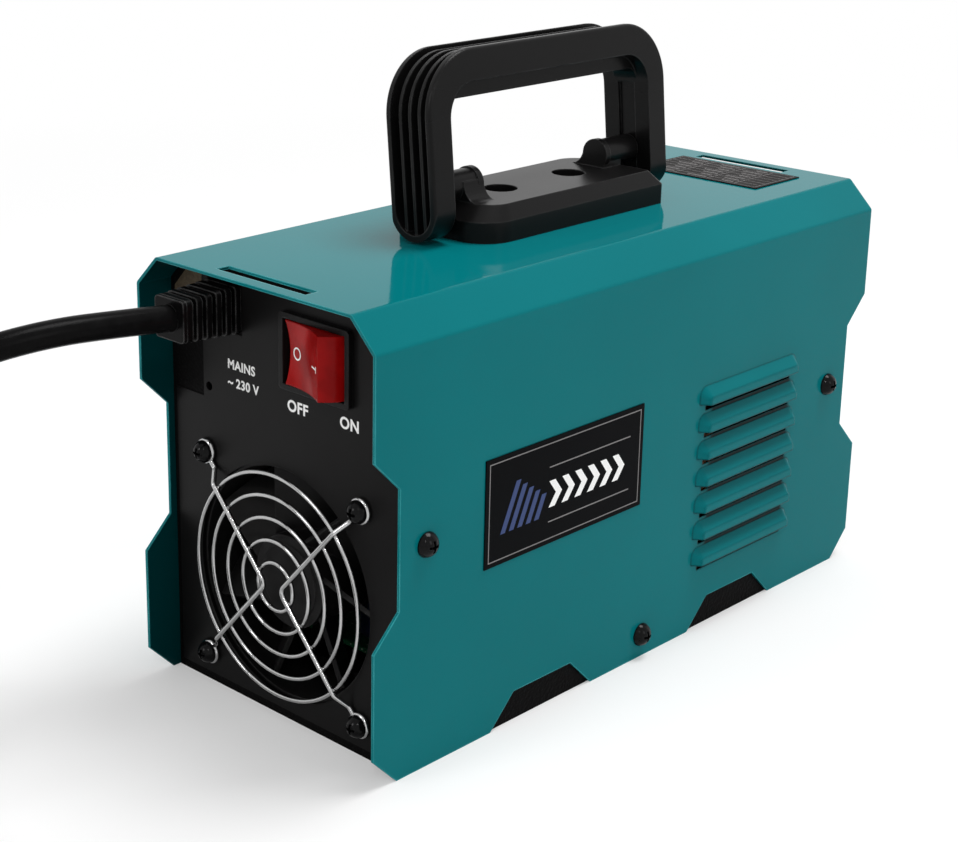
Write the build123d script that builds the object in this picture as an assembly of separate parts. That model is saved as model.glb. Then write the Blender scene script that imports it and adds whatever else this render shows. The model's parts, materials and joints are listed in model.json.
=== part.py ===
from build123d import *
import math
import os

# A small inverter stick welder. +Z up, -Y is the mains end with the lead, the switch
# and the fan, +Y is the output end, +X is the long side with the nameplate.
# The origin is on the floor under the middle of the case. All sizes in millimetres.

# ---------------------------------------------------------------- case
case_width = 108.0
case_length = 260.0
case_height = 148.0
shoulder = 10.0              # legs of the 45 degree bend between side and top
sheet = 1.0                  # all sheet steel
bend_radius = 1.6            # outside radius of the cover's bends
fit_gap = 0.15               # between the cover and what it slides over
panel_recess = 13.0          # end panels lie this far inside the cover's ends
recess_depth = 10.5          # middle of each side's end edge steps back
recess_top = 105.4
recess_bottom = 45.4
foot_chamfer = 10.0          # bottom corners of the cover's sides
notch_near = 27.0            # notches in the bottom edge, from the middle
notch_far = 77.5
notch_height = 10.8
notch_slope = 11.0
vent_slot_length = 40.0      # slots across the top at each end
vent_slot_width = 5.0
vent_slot_from_end = 7.2

# ---------------------------------------------------------------- louvres
louvre_count = 7
louvre_pitch = 10.0
louvre_lowest = 25.5         # lip height of the lowest hood
louvre_from_end = 73.5       # from the output end to the middle of the hoods
louvre_length = 60.0
louvre_rise = 7.4
louvre_throw = 3.2
louvre_end_slope = 3.4
louvre_top_slope = 4.6
louvre_root_corner = 4.2
louvre_front_corner = 1.2
louvre_drop = 2.6            # the opening reaches this far below its hood's lip
louvre_shear = 0.45          # the opening's lower edge slopes down inwards, per mm of depth

# ---------------------------------------------------------------- fasteners
m4_radius = 2.0
m4_head_radius = 4.1
m4_head_height = 3.5
m5_radius = 2.5
m5_head_radius = 4.6
m5_head_height = 3.4
hole_play = 0.25             # clearance holes, on the radius
thread_play = 0.05           # threaded holes, on the radius
side_screw_from_end = 22.0
side_screw_height = 74.4
low_screw_height = 8.4

# ---------------------------------------------------------------- tray
tray_wall_height = 24.0
board_width = 88.0
board_fan_gap = 5.8          # between the fan and the board
board_end_gap = 16.0         # between the board and the output panel
board_thickness = 1.6
board_lift = 12.2            # underside of the board above the tray floor
board_hole_inset = 5.0

# ---------------------------------------------------------------- handle
base_width = 39.6
base_length = 93.0
base_wall = 7.0
base_height = 12.0
base_corner = 12.0
base_side_slope = 2.9
base_end_slope = 5.0
base_screw_spacing = 35.4
base_hole_radius = 5.8
base_floor = 4.0
pivot_height = 16.5          # hinge axis above the cover
barrel_radius = 5.4
barrel_neck_radius = 4.9
barrel_shoulder = 2.4
barrel_inner_face = 32.0
barrel_foot = 4.6            # flare of the foot beside the barrel
grip_half_length = 60.5
grip_leg = 9.6
grip_width = 20.0
grip_bar = 10.7
grip_rise = 44.9             # top of the grip above the hinge axis
grip_floor_gap = 0.8         # between the rounded leg ends and the cover
grip_corner = 21.0
grip_flange = 2.2
grip_groove = 5.0
grip_rib = 1.2
grip_rib_set_back = 1.0
grip_inner_groove = 1.2
palm_width = 10.0
palm_depth = 5.5
palm_corner = 5.2
grip_lean = -5.5             # the grip rests leaning a little to -X
grip_side_play = 0.5         # between barrel and leg
pin_radius = 2.5
pin_play = 0.05
pin_seat = 10.0              # length of pin in the barrel
pin_reach = 3.2              # length of pin in the leg

# ---------------------------------------------------------------- fan and guard
fan_size = 80.0
fan_depth = 25.0
fan_lift = 5.8               # underside of the fan above the tray floor
fan_hole_inset = 4.25
fan_wall = 1.5               # thinnest wall of the duct
fan_tip_play = 0.9
fan_hub_radius = 15.5
fan_blade_count = 7
panel_opening_play = 1.0     # panel opening round the duct
guard_ring_count = 5
guard_inner_ring = 8.0
guard_outer_play = 0.9       # outer ring inside the duct's radius
guard_ring_wire = 0.7
guard_spoke_wire = 0.85
guard_stand_off = 4.6        # spoke centres in front of the panel
guard_eye_radius = 3.5
guard_head_radius = 3.75
guard_bend_offset = 3.4

# ---------------------------------------------------------------- mains switch
switch_x = 16.6
switch_drop = 22.3           # centre below the top of the case
bezel_lip = 0.95             # bezel round the body
bezel_thickness = 2.0
switch_wall = 0.8
switch_back_wall = 4.6
switch_play = 0.2            # body in its panel hole
rocker_radius = 13.3
rocker_height = 20.4
rocker_play = 0.3
rocker_pivot_inset = 3.5     # pivot axis in front of the panel
rocker_half_angle = 48.5
rocker_tilt = 14.0
rocker_dish = 1.5
rocker_scoop = 1.7           # how much deeper the O side is at mid height
rocker_pin_radius = 1.5
rocker_pin_play = 0.05

# ---------------------------------------------------------------- mains lead
lead_x = -26.0
lead_drop = 14.5             # exit below the top of the case
lead_diameter = 8.5
relief_reach = 22.5
relief_ribs = 6
relief_root = (15.4, 15.8)   # width and height at the panel
relief_tip = (13.8, 13.4)
relief_neck = (12.0, 12.0)
relief_tail = 8.0
relief_bore = 3.0            # how deep the lead is seated in the nose

# Route of the lead, from the nose of the strain relief to where it joins its coil.
lead_route = [
    (-26.0, -136.5, 133.5),
    (-26.6, -156.0, 135.6),
    (-29.6, -182.0, 137.2),
    (-36.5, -207.0, 133.6),
    (-47.0, -229.0, 121.5),
    (-57.4, -245.3, 102.5),
    (-66.2, -257.6, 80.5),
    (-73.6, -268.5, 58.5),
    (-79.0, -281.8, 39.5),
    (-80.7, -297.6, 26.4),
    (-77.5, -315.6, 16.6),
    (-66.7, -333.1, 12.75),
]
coil_centre = (-17.0, -302.0)
coil_mid_radius = 48.0
coil_layer_turns = 2.5       # one layer on the other
coil_tail_angle = 65.0       # where the lowest turn leaves for the plug
tail_length = 34.0

# ---------------------------------------------------------------- plug
plug_radius = 19.0
plug_height = 27.0
plug_outlet = 20.0
plug_outlet_wall = 0.95      # round the lead where it enters
plug_pin_radius = 2.4
plug_pin_length = 19.0
plug_pin_spacing = 19.0

# ---------------------------------------------------------------- output end
socket_spacing = 56.0
socket_height = 34.0
socket_flange_rim = 4.5
socket_flange_depth = 8.5
socket_sleeve_wall = 2.4
socket_contact_wall = 2.0
socket_bore_radius = 6.6
socket_bore_depth = 24.0
socket_back_wall = 4.7
socket_nut_wall = 3.0
knob_height = 92.0
knob_radius = 13.0
knob_length = 10.8
knob_shaft_radius = 3.0
window_width = 34.0
window_height = 16.0
window_drop = 26.0           # centre below the top of the case
lamp_radius = 2.5
lamp_spacing = 26.0

# ---------------------------------------------------------------- plates
film = 0.3
nameplate_length = 78.0
nameplate_height = 36.0
nameplate_y = -43.6
nameplate_z = 76.0
nameplate_thickness = 0.4
rating_width = 53.5
rating_length = 28.4
rating_x = 3.4
rating_from_end = 27.4

# ---------------------------------------------------------------- derived places
half_width = case_width / 2
half_length = case_length / 2
inner_x = half_width - sheet
inner_z = case_height - sheet
mains_face = -half_length + panel_recess
output_face = -mains_face
core_x = inner_x - fit_gap               # outer face of tray walls and panel flanges
core_z = inner_z - fit_gap
side_screw_y = half_length - side_screw_from_end
pivot_z = case_height + pivot_height
board_top = sheet + board_lift + board_thickness
grip_inner = grip_half_length - grip_leg
grip_drop = pivot_height - grip_floor_gap
louvre_middle = half_length - louvre_from_end
rating_y = half_length - rating_from_end
window_z = case_height - window_drop

fan_back = mains_face + sheet + fan_depth
fan_centre_height = sheet + fan_lift + fan_size / 2
fan_duct_radius = fan_size / 2 - fan_wall
guard_outer_ring = fan_duct_radius - guard_outer_play
panel_opening_radius = fan_duct_radius + panel_opening_play

board_start = fan_back + board_fan_gap
board_length = output_face - board_end_gap - board_start
board_y = board_start + board_length / 2

switch_height = case_height - switch_drop
cavity_half = rocker_radius + rocker_play
cavity_height = rocker_height + 2 * rocker_play
switch_body_width = 2 * (cavity_half + switch_wall)
switch_body_height = cavity_height + 2 * switch_wall
switch_body_depth = film + rocker_pivot_inset + cavity_half + switch_back_wall
bezel_width = switch_body_width + 2 * bezel_lip
bezel_height = switch_body_height + 2 * bezel_lip
lead_height = case_height - lead_drop

contact_radius = socket_bore_radius + socket_contact_wall
socket_body_radius = contact_radius + socket_sleeve_wall
socket_flange_radius = socket_body_radius + socket_flange_rim
socket_front = output_face + socket_flange_depth
contact_front = socket_front - 1.0       # the contact is a little shy of its housing
socket_back = contact_front - socket_bore_depth - socket_back_wall

os.makedirs("parts", exist_ok=True)
nodes = {}


def block(x, y, z):
    """A box between pairs of coordinates."""
    centre = ((x[0] + x[1]) / 2, (y[0] + y[1]) / 2, (z[0] + z[1]) / 2)
    return Pos(*centre) * Box(x[1] - x[0], y[1] - y[0], z[1] - z[0])


def rod(radius, start, end):
    """A cylinder between two points."""
    axis = Vector(*end) - Vector(*start)
    frame = Plane(origin=Vector(*start), z_dir=axis.normalized())
    return frame * Pos(0, 0, axis.length / 2) * Cylinder(radius, axis.length)


def side_view(points):
    """A closed outline in the YZ plane, from (y, z) points."""
    return make_face(Polyline(*[(0, y, z) for y, z in points], close=True))


def end_view(points, y=0.0):
    """A closed outline in the XZ plane, from (x, z) points."""
    return make_face(Polyline(*[(x, y, z) for x, z in points], close=True))


def joined(shapes):
    """One shape from a list of touching shapes."""
    first, *rest = shapes
    return first.fuse(*rest) if rest else first


def group(shapes):
    """Separate solids kept together in one node."""
    return Compound(children=[solid for shape in shapes for solid in shape.solids()])


def mirrored_x(shape):
    return mirror(shape, Plane.YZ)


def half_turn(shape):
    return Rot(0, 0, 180) * shape


def save(name, shape):
    nodes[name] = shape
    shape.label = name
    export_step(shape, f"parts/{name}.step")


def pan_screw(head_radius, head_height, shaft_radius, length):
    """A domed cross-recess screw along -Z, its head sitting on z = 0."""
    crown = 0.70 * head_height
    profile = make_face(
        Curve() + [
            Polyline((0, 0, head_height), (0, 0, 0), (head_radius, 0, 0),
                     (head_radius, 0, head_height - crown - 0.6)),
            ThreePointArc((head_radius, 0, head_height - crown - 0.6),
                          (0.72 * head_radius, 0, head_height - 0.36 * crown - 0.3),
                          (0, 0, head_height)),
        ]
    )
    head = revolve(profile, Axis.Z, 360)
    arm = 0.95 * head_radius
    recess = [
        Pos(0, 0, head_height) * Rot(0, 0, turn) * Box(arm, 0.95, 0.9 * head_height)
        for turn in (0, 90)
    ]
    shaft = rod(shaft_radius, (0, 0, -length), (0, 0, 0.2 * head_height))
    return head.cut(*recess).fuse(shaft)


def hex_nut(across_flats, height, bore):
    """A nut standing on z = 0."""
    body = extrude(RegularPolygon(across_flats / 2, 6, major_radius=False), height)
    return body - rod(bore, (0, 0, -1), (0, 0, height + 1))


def facing(point, direction):
    """A frame at a point whose Z axis looks along a direction."""
    return Plane(origin=point, z_dir=direction)


def shell_outline(side_x, top_z, corner_shift, radius):
    """The cover's or a panel's outline: sides, 45 degree shoulders and top."""
    points = [
        (side_x, -sheet),
        (side_x, case_height - shoulder - corner_shift),
        (half_width - shoulder - corner_shift, top_z),
        (-half_width + shoulder + corner_shift, top_z),
        (-side_x, case_height - shoulder - corner_shift),
        (-side_x, -sheet),
    ]
    face = end_view(points)
    bends = [v for v in face.vertices() if v.Z > 0]
    return fillet(bends, radius)


def corner_shift(inset):
    """How far an outline's bends move down when it shrinks by an inset."""
    return inset * math.tan(math.radians(22.5))


def along_y(face, start, end):
    """A prism on a face that was drawn at y = 0."""
    return Pos(0, start, 0) * extrude(face, end - start, dir=(0, 1, 0))


def side_screw_places():
    """(y, z) of the screws on each side of the cover."""
    return [
        (-side_screw_y, side_screw_height),
        (0.0, low_screw_height),
        (side_screw_y, side_screw_height),
    ]


# ================================================================ cover
def louvre_places():
    return [louvre_lowest + louvre_pitch * row for row in range(louvre_count)]


def louvre_hood(lip_z, inset):
    """One pressed hood on the +X side, or its hollow when inset by the sheet."""
    half = louvre_length / 2
    root_x = inner_x
    front_x = half_width + louvre_throw - inset
    root = Plane(origin=(root_x, 0, 0), x_dir=(0, 1, 0), z_dir=(1, 0, 0))
    front = root.offset(front_x - root_x)
    top = lip_z + louvre_rise - inset
    sketches = []
    for plane, end, height, corner in (
        (root, half - inset, top - lip_z, louvre_root_corner),
        (front, half - louvre_end_slope - inset, top - louvre_top_slope - lip_z,
         louvre_front_corner),
    ):
        centre = (louvre_middle, lip_z + height / 2)
        face = Pos(*centre) * Rectangle(2 * end, height)
        upper = face.vertices().group_by(Axis.Y)[-1]
        sketches.append(plane * fillet(upper, corner))
    return loft(sketches)


def louvre_opening(lip_z):
    """The slot in the sheet behind a hood's lip."""
    reach = louvre_length / 2 - louvre_end_slope - sheet
    low = lip_z - louvre_drop
    deep, clear = sheet + 1, 0.5
    outline = end_view([
        (inner_x - 1, low - louvre_shear * deep),
        (half_width + clear, low + louvre_shear * clear),
        (half_width + clear, lip_z + 0.5),
        (inner_x - 1, lip_z + 0.5),
    ])
    return along_y(outline, louvre_middle - reach, louvre_middle + reach)


def rounded_hood(lip_z):
    hood = louvre_hood(lip_z, 0.0)
    front = hood.faces().sort_by(Axis.X)[-1]
    low = lip_z + 0.01
    edges = [e for e in front.edges() if e.center().Z > low]
    return fillet(edges, 0.9)


def make_cover():
    outer = shell_outline(half_width, case_height, 0.0, bend_radius)
    inner = shell_outline(inner_x, inner_z, corner_shift(sheet), bend_radius / 2)
    cover = along_y(outer, -half_length, half_length)
    cover -= along_y(inner, -half_length - 1, half_length + 1)
    cover -= block((-case_width, case_width), (-case_length, case_length), (-50, 0))
    hoods = [rounded_hood(z) for z in louvre_places()]
    hollows = [louvre_hood(z, sheet) for z in louvre_places()]
    hollows += [louvre_opening(z) for z in louvre_places()]
    cover = cover.fuse(*hoods, *[mirrored_x(h) for h in hoods])
    step = recess_depth
    end_cut = [
        (half_length + 1, recess_top + 1),
        (half_length, recess_top),
        (half_length - step, recess_top - step),
        (half_length - step, recess_bottom + step),
        (half_length, recess_bottom),
        (half_length + 1, recess_bottom - 1),
    ]
    foot_cut = [
        (half_length + 1, foot_chamfer + 1),
        (half_length - foot_chamfer - 1, -1),
        (half_length + 1, -1),
    ]
    notch = [
        (notch_near - 1, -1),
        (notch_near + notch_slope, notch_height),
        (notch_far - notch_slope, notch_height),
        (notch_far + 1, -1),
    ]
    cuts = []
    for outline in (end_cut, foot_cut, notch):
        face = side_view(outline)
        prism = extrude(face, case_width, dir=(1, 0, 0), both=True)
        cuts += [prism, mirror(prism, Plane.XZ)]
    slot_y = half_length - vent_slot_from_end
    for y in (-slot_y, slot_y):
        cuts.append(block(
            (-vent_slot_length / 2, vent_slot_length / 2),
            (y - vent_slot_width / 2, y + vent_slot_width / 2),
            (inner_z - 1, case_height + 1),
        ))
    hole = m4_radius + hole_play
    for y, z in side_screw_places():
        cuts.append(rod(hole, (-case_width, y, z), (case_width, y, z)))
    for y in (-base_screw_spacing / 2, base_screw_spacing / 2):
        cuts.append(rod(m5_radius + hole_play, (0, y, inner_z - 1), (0, y, case_height + 1)))
    return cover.cut(*cuts, *hollows, *[mirrored_x(h) for h in hollows])


# ================================================================ chassis
def make_tray():
    floor = block((-core_x, core_x), (mains_face, output_face), (0, sheet))
    wall_end = output_face - sheet - fit_gap
    wall = block((core_x - sheet, core_x), (-wall_end, wall_end), (0, tray_wall_height))
    tray = floor.fuse(wall, mirrored_x(wall))
    slots = [
        block((x - 1.5, x + 1.5), (20, 70), (-1, sheet + 1))
        for x in range(-30, 31, 10)
    ]
    hole = m4_radius + hole_play
    slots.append(rod(hole, (-case_width, 0, low_screw_height), (case_width, 0, low_screw_height)))
    for x, y in board_hole_places():
        slots.append(rod(1.6, (x, y, -1), (x, y, sheet + 1)))
    return tray.cut(*slots)


def board_hole_places():
    x = board_width / 2 - board_hole_inset
    y = board_length / 2 - board_hole_inset
    return [(sx * x, board_y + sy * y) for sx in (-1, 1) for sy in (-1, 0, 1)]


def panel_blank():
    """An end panel on the mains side, with its flanges, before its openings."""
    inset = sheet + fit_gap
    outline = shell_outline(core_x, core_z, corner_shift(inset), bend_radius / 2)
    panel = along_y(outline, mains_face, mains_face + sheet)
    panel -= block((-case_width, case_width), (-case_length, case_length), (-50, sheet))
    flange_end = -side_screw_y + 9.0
    tab = block(
        (core_x - sheet, core_x),
        (mains_face, flange_end),
        (side_screw_height - 12, side_screw_height + 12),
    )
    foot = block((-38, 38), (mains_face, mains_face + 14), (sheet, 2 * sheet))
    panel = panel.fuse(tab, mirrored_x(tab), foot)
    hole = m4_radius + hole_play
    y, z = -side_screw_y, side_screw_height
    return panel - rod(hole, (-case_width, y, z), (case_width, y, z))


def fan_corner_places():
    half = fan_size / 2 - fan_hole_inset
    return [(sx * half, fan_centre_height + sz * half) for sx in (-1, 1) for sz in (-1, 1)]


def fan_opening(start, end):
    cuts = [rod(panel_opening_radius, (0, start, fan_centre_height), (0, end, fan_centre_height))]
    for x, z in fan_corner_places():
        cuts.append(rod(m4_radius + hole_play, (x, start, z), (x, end, z)))
    return cuts


def centred(width, height, x, z, y):
    """A box with its middle at (x, z), between two y coordinates."""
    return block((x - width / 2, x + width / 2), y, (z - height / 2, z + height / 2))


def make_mains_panel():
    cuts = fan_opening(mains_face - 1, mains_face + sheet + 1)
    span = (mains_face - 1, mains_face + sheet + 1)
    play = 2 * switch_play
    cuts.append(centred(
        switch_body_width + play, switch_body_height + play, switch_x, switch_height, span
    ))
    cuts.append(centred(relief_neck[0] + 0.3, relief_neck[1] + 0.3, lead_x, lead_height, span))
    cuts.append(rod(1.5, (-34.4, span[0], 104.8), (-34.4, span[1], 104.8)))
    return panel_blank().cut(*cuts)


def make_mains_film():
    """A smooth printed film over most of the mains panel."""
    front = mains_face - film
    edge = core_x - 2.0
    outline = [
        (-edge, 3.0), (-edge, 101.0), (-37.0, 101.0), (-37.0, core_z - 4.0),
        (half_width - shoulder - 3.0, core_z - 4.0),
        (edge, case_height - shoulder - 4.0), (edge, 3.0),
    ]
    sheet_film = along_y(end_view(outline), front, mains_face)
    cuts = fan_opening(front - 1, mains_face + 1)
    span = (front - 1, mains_face + 1)
    play = 2 * switch_play
    cuts.append(centred(
        switch_body_width + play, switch_body_height + play, switch_x, switch_height, span
    ))
    cuts.append(centred(relief_root[0] + 1, relief_root[1] + 1, lead_x, lead_height, span))
    cuts.append(rod(1.5, (-34.4, span[0], 104.8), (-34.4, span[1], 104.8)))
    return sheet_film.cut(*cuts)


def socket_places():
    return [(-socket_spacing / 2, socket_height), (socket_spacing / 2, socket_height)]


def output_cuts(start, end):
    cuts = [rod(socket_body_radius + fit_gap, (x, start, z), (x, end, z)) for x, z in socket_places()]
    cuts.append(rod(3.6, (0, start, knob_height), (0, end, knob_height)))
    for x in (-lamp_spacing, lamp_spacing):
        cuts.append(rod(lamp_radius + fit_gap, (x, start, window_z), (x, end, window_z)))
    return cuts


def make_output_panel():
    blank = mirror(panel_blank(), Plane.XZ)
    cuts = output_cuts(output_face - sheet - 1, output_face + 1)
    span = (output_face - sheet - 1, output_face + 1)
    play = 2 * fit_gap
    cuts.append(centred(window_width + play, window_height + play, 0, window_z, span))
    vents = [
        centred(3.0, 20.0, x, 68.0, span) for x in (-36, -29, -22, 22, 29, 36)
    ]
    return blank.cut(*cuts, *vents)


def make_output_film():
    """The printed face of the output end, above the sockets."""
    span = (output_face, output_face + film)
    low, high = 54.0, core_z - 5.0
    edge = core_x - 3.0
    outline = [
        (-edge, low), (-edge, case_height - shoulder - 5.0),
        (-half_width + shoulder + 4.0, high), (half_width - shoulder - 4.0, high),
        (edge, case_height - shoulder - 5.0), (edge, low),
    ]
    face = along_y(end_view(outline), *span)
    cuts = output_cuts(output_face - 1, output_face + film + 1)
    wide = (output_face - 1, output_face + film + 1)
    cuts.append(centred(window_width + 0.3, window_height + 0.3, 0, window_z, wide))
    cuts += [centred(3.0, 20.0, x, 68.0, wide) for x in (-36, -29, -22, 22, 29, 36)]
    return face.cut(*cuts)


# ================================================================ fasteners of the case
def make_cover_screws():
    screws = []
    for y, z in side_screw_places():
        screw = pan_screw(m4_head_radius, m4_head_height, m4_radius, 8.0)
        placed = facing((half_width, y, z), (1, 0, 0)) * screw
        screws += [placed, mirrored_x(placed)]
    return group(screws)


def make_clinch_nuts():
    """Threaded bushes pressed on the inside of the flanges and tray walls."""
    nuts = []
    inside = core_x - sheet
    for y, z in side_screw_places():
        bush = rod(3.6, (inside - 4.0, y, z), (inside, y, z))
        bush -= rod(m4_radius + thread_play, (inside - 5.0, y, z), (inside + 1, y, z))
        nuts += [bush, mirrored_x(bush)]
    return group(nuts)


# ================================================================ handle
def base_outline(width, length, big, small, z):
    """A rectangle whose two opposite corners, (+x, -y) and (-x, +y), are round."""
    face = Pos(0, 0, z) * Rectangle(width, length)
    round_corners = [v for v in face.vertices() if v.X * v.Y < 0]
    face = fillet(round_corners, big)
    sharp = [v for v in face.vertices() if abs(abs(v.X) - width / 2) < 0.01
             and abs(abs(v.Y) - length / 2) < 0.01]
    return fillet(sharp, small)


def make_barrel():
    """The hinge barrel at the +Y end; the other is its half turn."""
    shoulder_y = barrel_inner_face + barrel_shoulder
    end_y = grip_inner - grip_side_play
    disc = rod(barrel_radius, (0, barrel_inner_face, pivot_z), (0, shoulder_y, pivot_z))
    neck = rod(barrel_neck_radius, (0, barrel_inner_face, pivot_z), (0, end_y, pivot_z))
    top = case_height + base_height
    ramp_start, ramp_end = (-barrel_radius - barrel_foot, top), (-barrel_radius + 0.5, pivot_z + 2.0)
    hollow = (-barrel_radius - 0.4, top + 0.6)
    ramp = [(-barrel_radius - barrel_foot, top - 0.5)]
    for step in range(9):
        share = step / 8
        ramp.append(tuple(
            (1 - share) ** 2 * a + 2 * share * (1 - share) * b + share ** 2 * c
            for a, b, c in zip(ramp_start, hollow, ramp_end)
        ))
    foot = ramp + [
        (0, pivot_z),
        (barrel_neck_radius - 0.6, pivot_z - 2.0),
        (barrel_neck_radius - 0.6, top - 0.5),
    ]
    plinth_end = base_length / 2 - base_end_slope
    plinth = along_y(end_view(foot), barrel_inner_face, plinth_end)
    return disc.fuse(neck, plinth)


def make_handle_base():
    low = case_height
    wall_top = low + base_wall
    top = low + base_height
    foot = base_outline(base_width, base_length, base_corner, 1.5, low)
    walls = extrude(foot, base_wall)
    narrow = base_width - 2 * base_side_slope
    short = base_length - 2 * base_end_slope
    crown = loft([
        base_outline(base_width, base_length, base_corner, 1.5, wall_top),
        base_outline(narrow, short, base_corner - base_side_slope, 1.0, top),
    ], ruled=True)
    barrel = make_barrel()
    base = walls.fuse(crown, barrel, half_turn(barrel))
    cuts = []
    for y in (-base_screw_spacing / 2, base_screw_spacing / 2):
        cuts.append(rod(base_hole_radius, (0, y, low + base_floor), (0, y, top + 1)))
        cuts.append(rod(m5_radius + hole_play, (0, y, low - 1), (0, y, low + base_floor + 1)))
    end_y = grip_inner - grip_side_play
    for side in (-1, 1):
        cuts.append(rod(
            pin_radius, (0, side * (end_y - pin_seat), pivot_z), (0, side * (end_y + 1), pivot_z)
        ))
    return base.cut(*cuts)


def arch(half, top, radius, bottom):
    """An upside-down U outline in the YZ plane, about the hinge axis."""
    face = side_view([(-half, bottom), (-half, top), (half, top), (half, bottom)])
    return fillet([v for v in face.vertices() if v.Z > top - 0.01], radius)


def across(face, x0, x1):
    """A prism between two x coordinates on a face in the YZ plane."""
    return Pos(x0, 0, 0) * extrude(face, x1 - x0, dir=(1, 0, 0))


def leg_end_prism(half, low):
    """What keeps the leg ends round, seen along Y."""
    centre = low + half
    reach = grip_half_length + 5
    upper = block((-half, half), (-reach, reach), (centre, grip_rise + 5))
    return upper.fuse(rod(half, (0, -reach, centre), (0, reach, centre)))


def make_grip():
    half = grip_width / 2
    low = -grip_drop
    inner_corner = grip_corner - grip_leg
    outer = arch(grip_half_length, grip_rise, grip_corner, low - 5)
    opening = arch(grip_inner, grip_rise - grip_bar, inner_corner, low - 6)
    grip = across(outer, -half, half)
    rims = [e for e in grip.edges() if abs(abs(e.center().X) - half) < 0.01
            and e.center().Z > low - 4.9]
    grip = fillet(rims, 1.0)
    grip -= across(opening, -half - 1, half + 1)
    grip &= leg_end_prism(half, low)
    lower = arch(grip_inner, grip_rise - grip_bar - palm_depth, palm_corner, low - 7)
    palm = across(opening - lower, -palm_width / 2, palm_width / 2)
    palm &= block((-half, half), (-grip_inner, grip_inner), (0, grip_rise))
    grip = grip.fuse(palm)
    pocket_half = half - grip_flange
    floor = arch(grip_half_length - grip_groove, grip_rise - grip_groove,
                 grip_corner - grip_groove, low - 8)
    crest = arch(grip_half_length - grip_rib_set_back, grip_rise - grip_rib_set_back,
                 grip_corner - grip_rib_set_back, low - 8)
    wide = arch(grip_half_length + 2, grip_rise + 2, grip_corner, low - 7)
    ends = leg_end_prism(pocket_half, low + grip_flange)
    bays = 4
    bay = (2 * pocket_half - (bays - 1) * grip_rib) / bays
    for index in range(bays):
        start = -pocket_half + index * (bay + grip_rib)
        grip -= across(wide - floor, start, start + bay) & ends
    grip -= across(wide - crest, -pocket_half, pocket_half) & ends
    channel = palm_width / 2 - 1.4
    for side in (-1, 1):
        grip -= block(
            (-channel, channel),
            sorted((side * (grip_inner - 1), side * (grip_inner + grip_inner_groove))),
            (low + 4, grip_rise - grip_bar - palm_depth - palm_corner),
        )
        grip -= rod(
            pin_radius + pin_play,
            (0, side * (grip_inner - 1), 0),
            (0, side * (grip_inner + pin_reach + 0.4), 0),
        )
    return Pos(0, 0, pivot_z) * Rot(0, grip_lean, 0) * grip


def make_hinge_pins():
    end_y = grip_inner - grip_side_play
    return group([
        rod(pin_radius, (0, side * (end_y - pin_seat), pivot_z),
            (0, side * (grip_inner + pin_reach), pivot_z))
        for side in (-1, 1)
    ])


def make_handle_screws():
    seat = case_height + base_floor
    return group([
        Pos(0, side * base_screw_spacing / 2, seat)
        * pan_screw(m5_head_radius, m5_head_height, m5_radius, 12.0)
        for side in (-1, 1)
    ])


def make_handle_plate():
    """A threaded strip under the cover that the handle screws pull against."""
    plate = block((-11, 11), (-base_screw_spacing / 2 - 12, base_screw_spacing / 2 + 12),
                  (inner_z - 4.0, inner_z))
    for side in (-1, 1):
        y = side * base_screw_spacing / 2
        plate -= rod(m5_radius + thread_play, (0, y, inner_z - 5), (0, y, inner_z + 1))
    return plate


# ================================================================ fan
def make_fan_frame():
    front = mains_face + sheet
    back = fan_back
    half = fan_size / 2
    z = fan_centre_height
    body = block((-half, half), (front, back), (z - half, z + half))
    body = fillet(body.edges().filter_by(Axis.Y), 4.0)
    waist = block((-half - 1, half + 1), (front + 4, back - 4), (z - half - 1, z + half + 1))
    waist -= rod(fan_duct_radius + 1.6, (0, front, z), (0, back, z))
    corners = [
        centred(12, 12, x, cz, (front, back)) for x, cz in fan_corner_places()
    ]
    waist = waist.cut(*corners)
    body -= waist
    body -= rod(fan_duct_radius, (0, front - 1, z), (0, back - 2.5, z))
    windows = rod(fan_duct_radius, (0, back - 3.5, z), (0, back + 1, z))
    windows -= rod(fan_hub_radius + 1, (0, back - 4, z), (0, back + 2, z))
    for turn in range(4):
        arm = block((-2, 2), (back - 4, back + 2), (0, fan_duct_radius + 2))
        windows -= Pos(0, 0, z) * Rot(0, 20 + 90 * turn, 0) * arm
    body -= windows
    body -= rod(1.55, (0, back - 5, z), (0, back + 1, z))
    for x, cz in fan_corner_places():
        body -= rod(m4_radius + hole_play, (x, front - 1, cz), (x, back + 1, cz))
    return body


def make_fan_rotor():
    front = mains_face + sheet + 1.5
    back = fan_back - 3.0
    z = fan_centre_height
    hub = rod(fan_hub_radius, (0, front, 0), (0, back, 0))
    tip = fan_duct_radius - fan_tip_play
    swept = rod(tip, (0, front + 0.5, 0), (0, back - 0.5, 0))
    blade = Pos(0, (front + back) / 2, tip / 2 + 5) * Rot(0, 0, 48) * Box(24, 1.6, tip)
    blade = (blade & swept) - block((-30, 30), (-200, 200), (-60, 8))
    blades = [Rot(0, 360 / fan_blade_count * n, 0) * blade for n in range(fan_blade_count)]
    shaft = rod(1.5, (0, back - 1, 0), (0, back + 2.8, 0))
    cap = rod(fan_hub_radius - 3, (0, front - 0.4, 0), (0, front + 1, 0))
    rotor = hub.fuse(*blades, shaft, cap)
    return Pos(0, 0, z) * rotor


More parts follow.
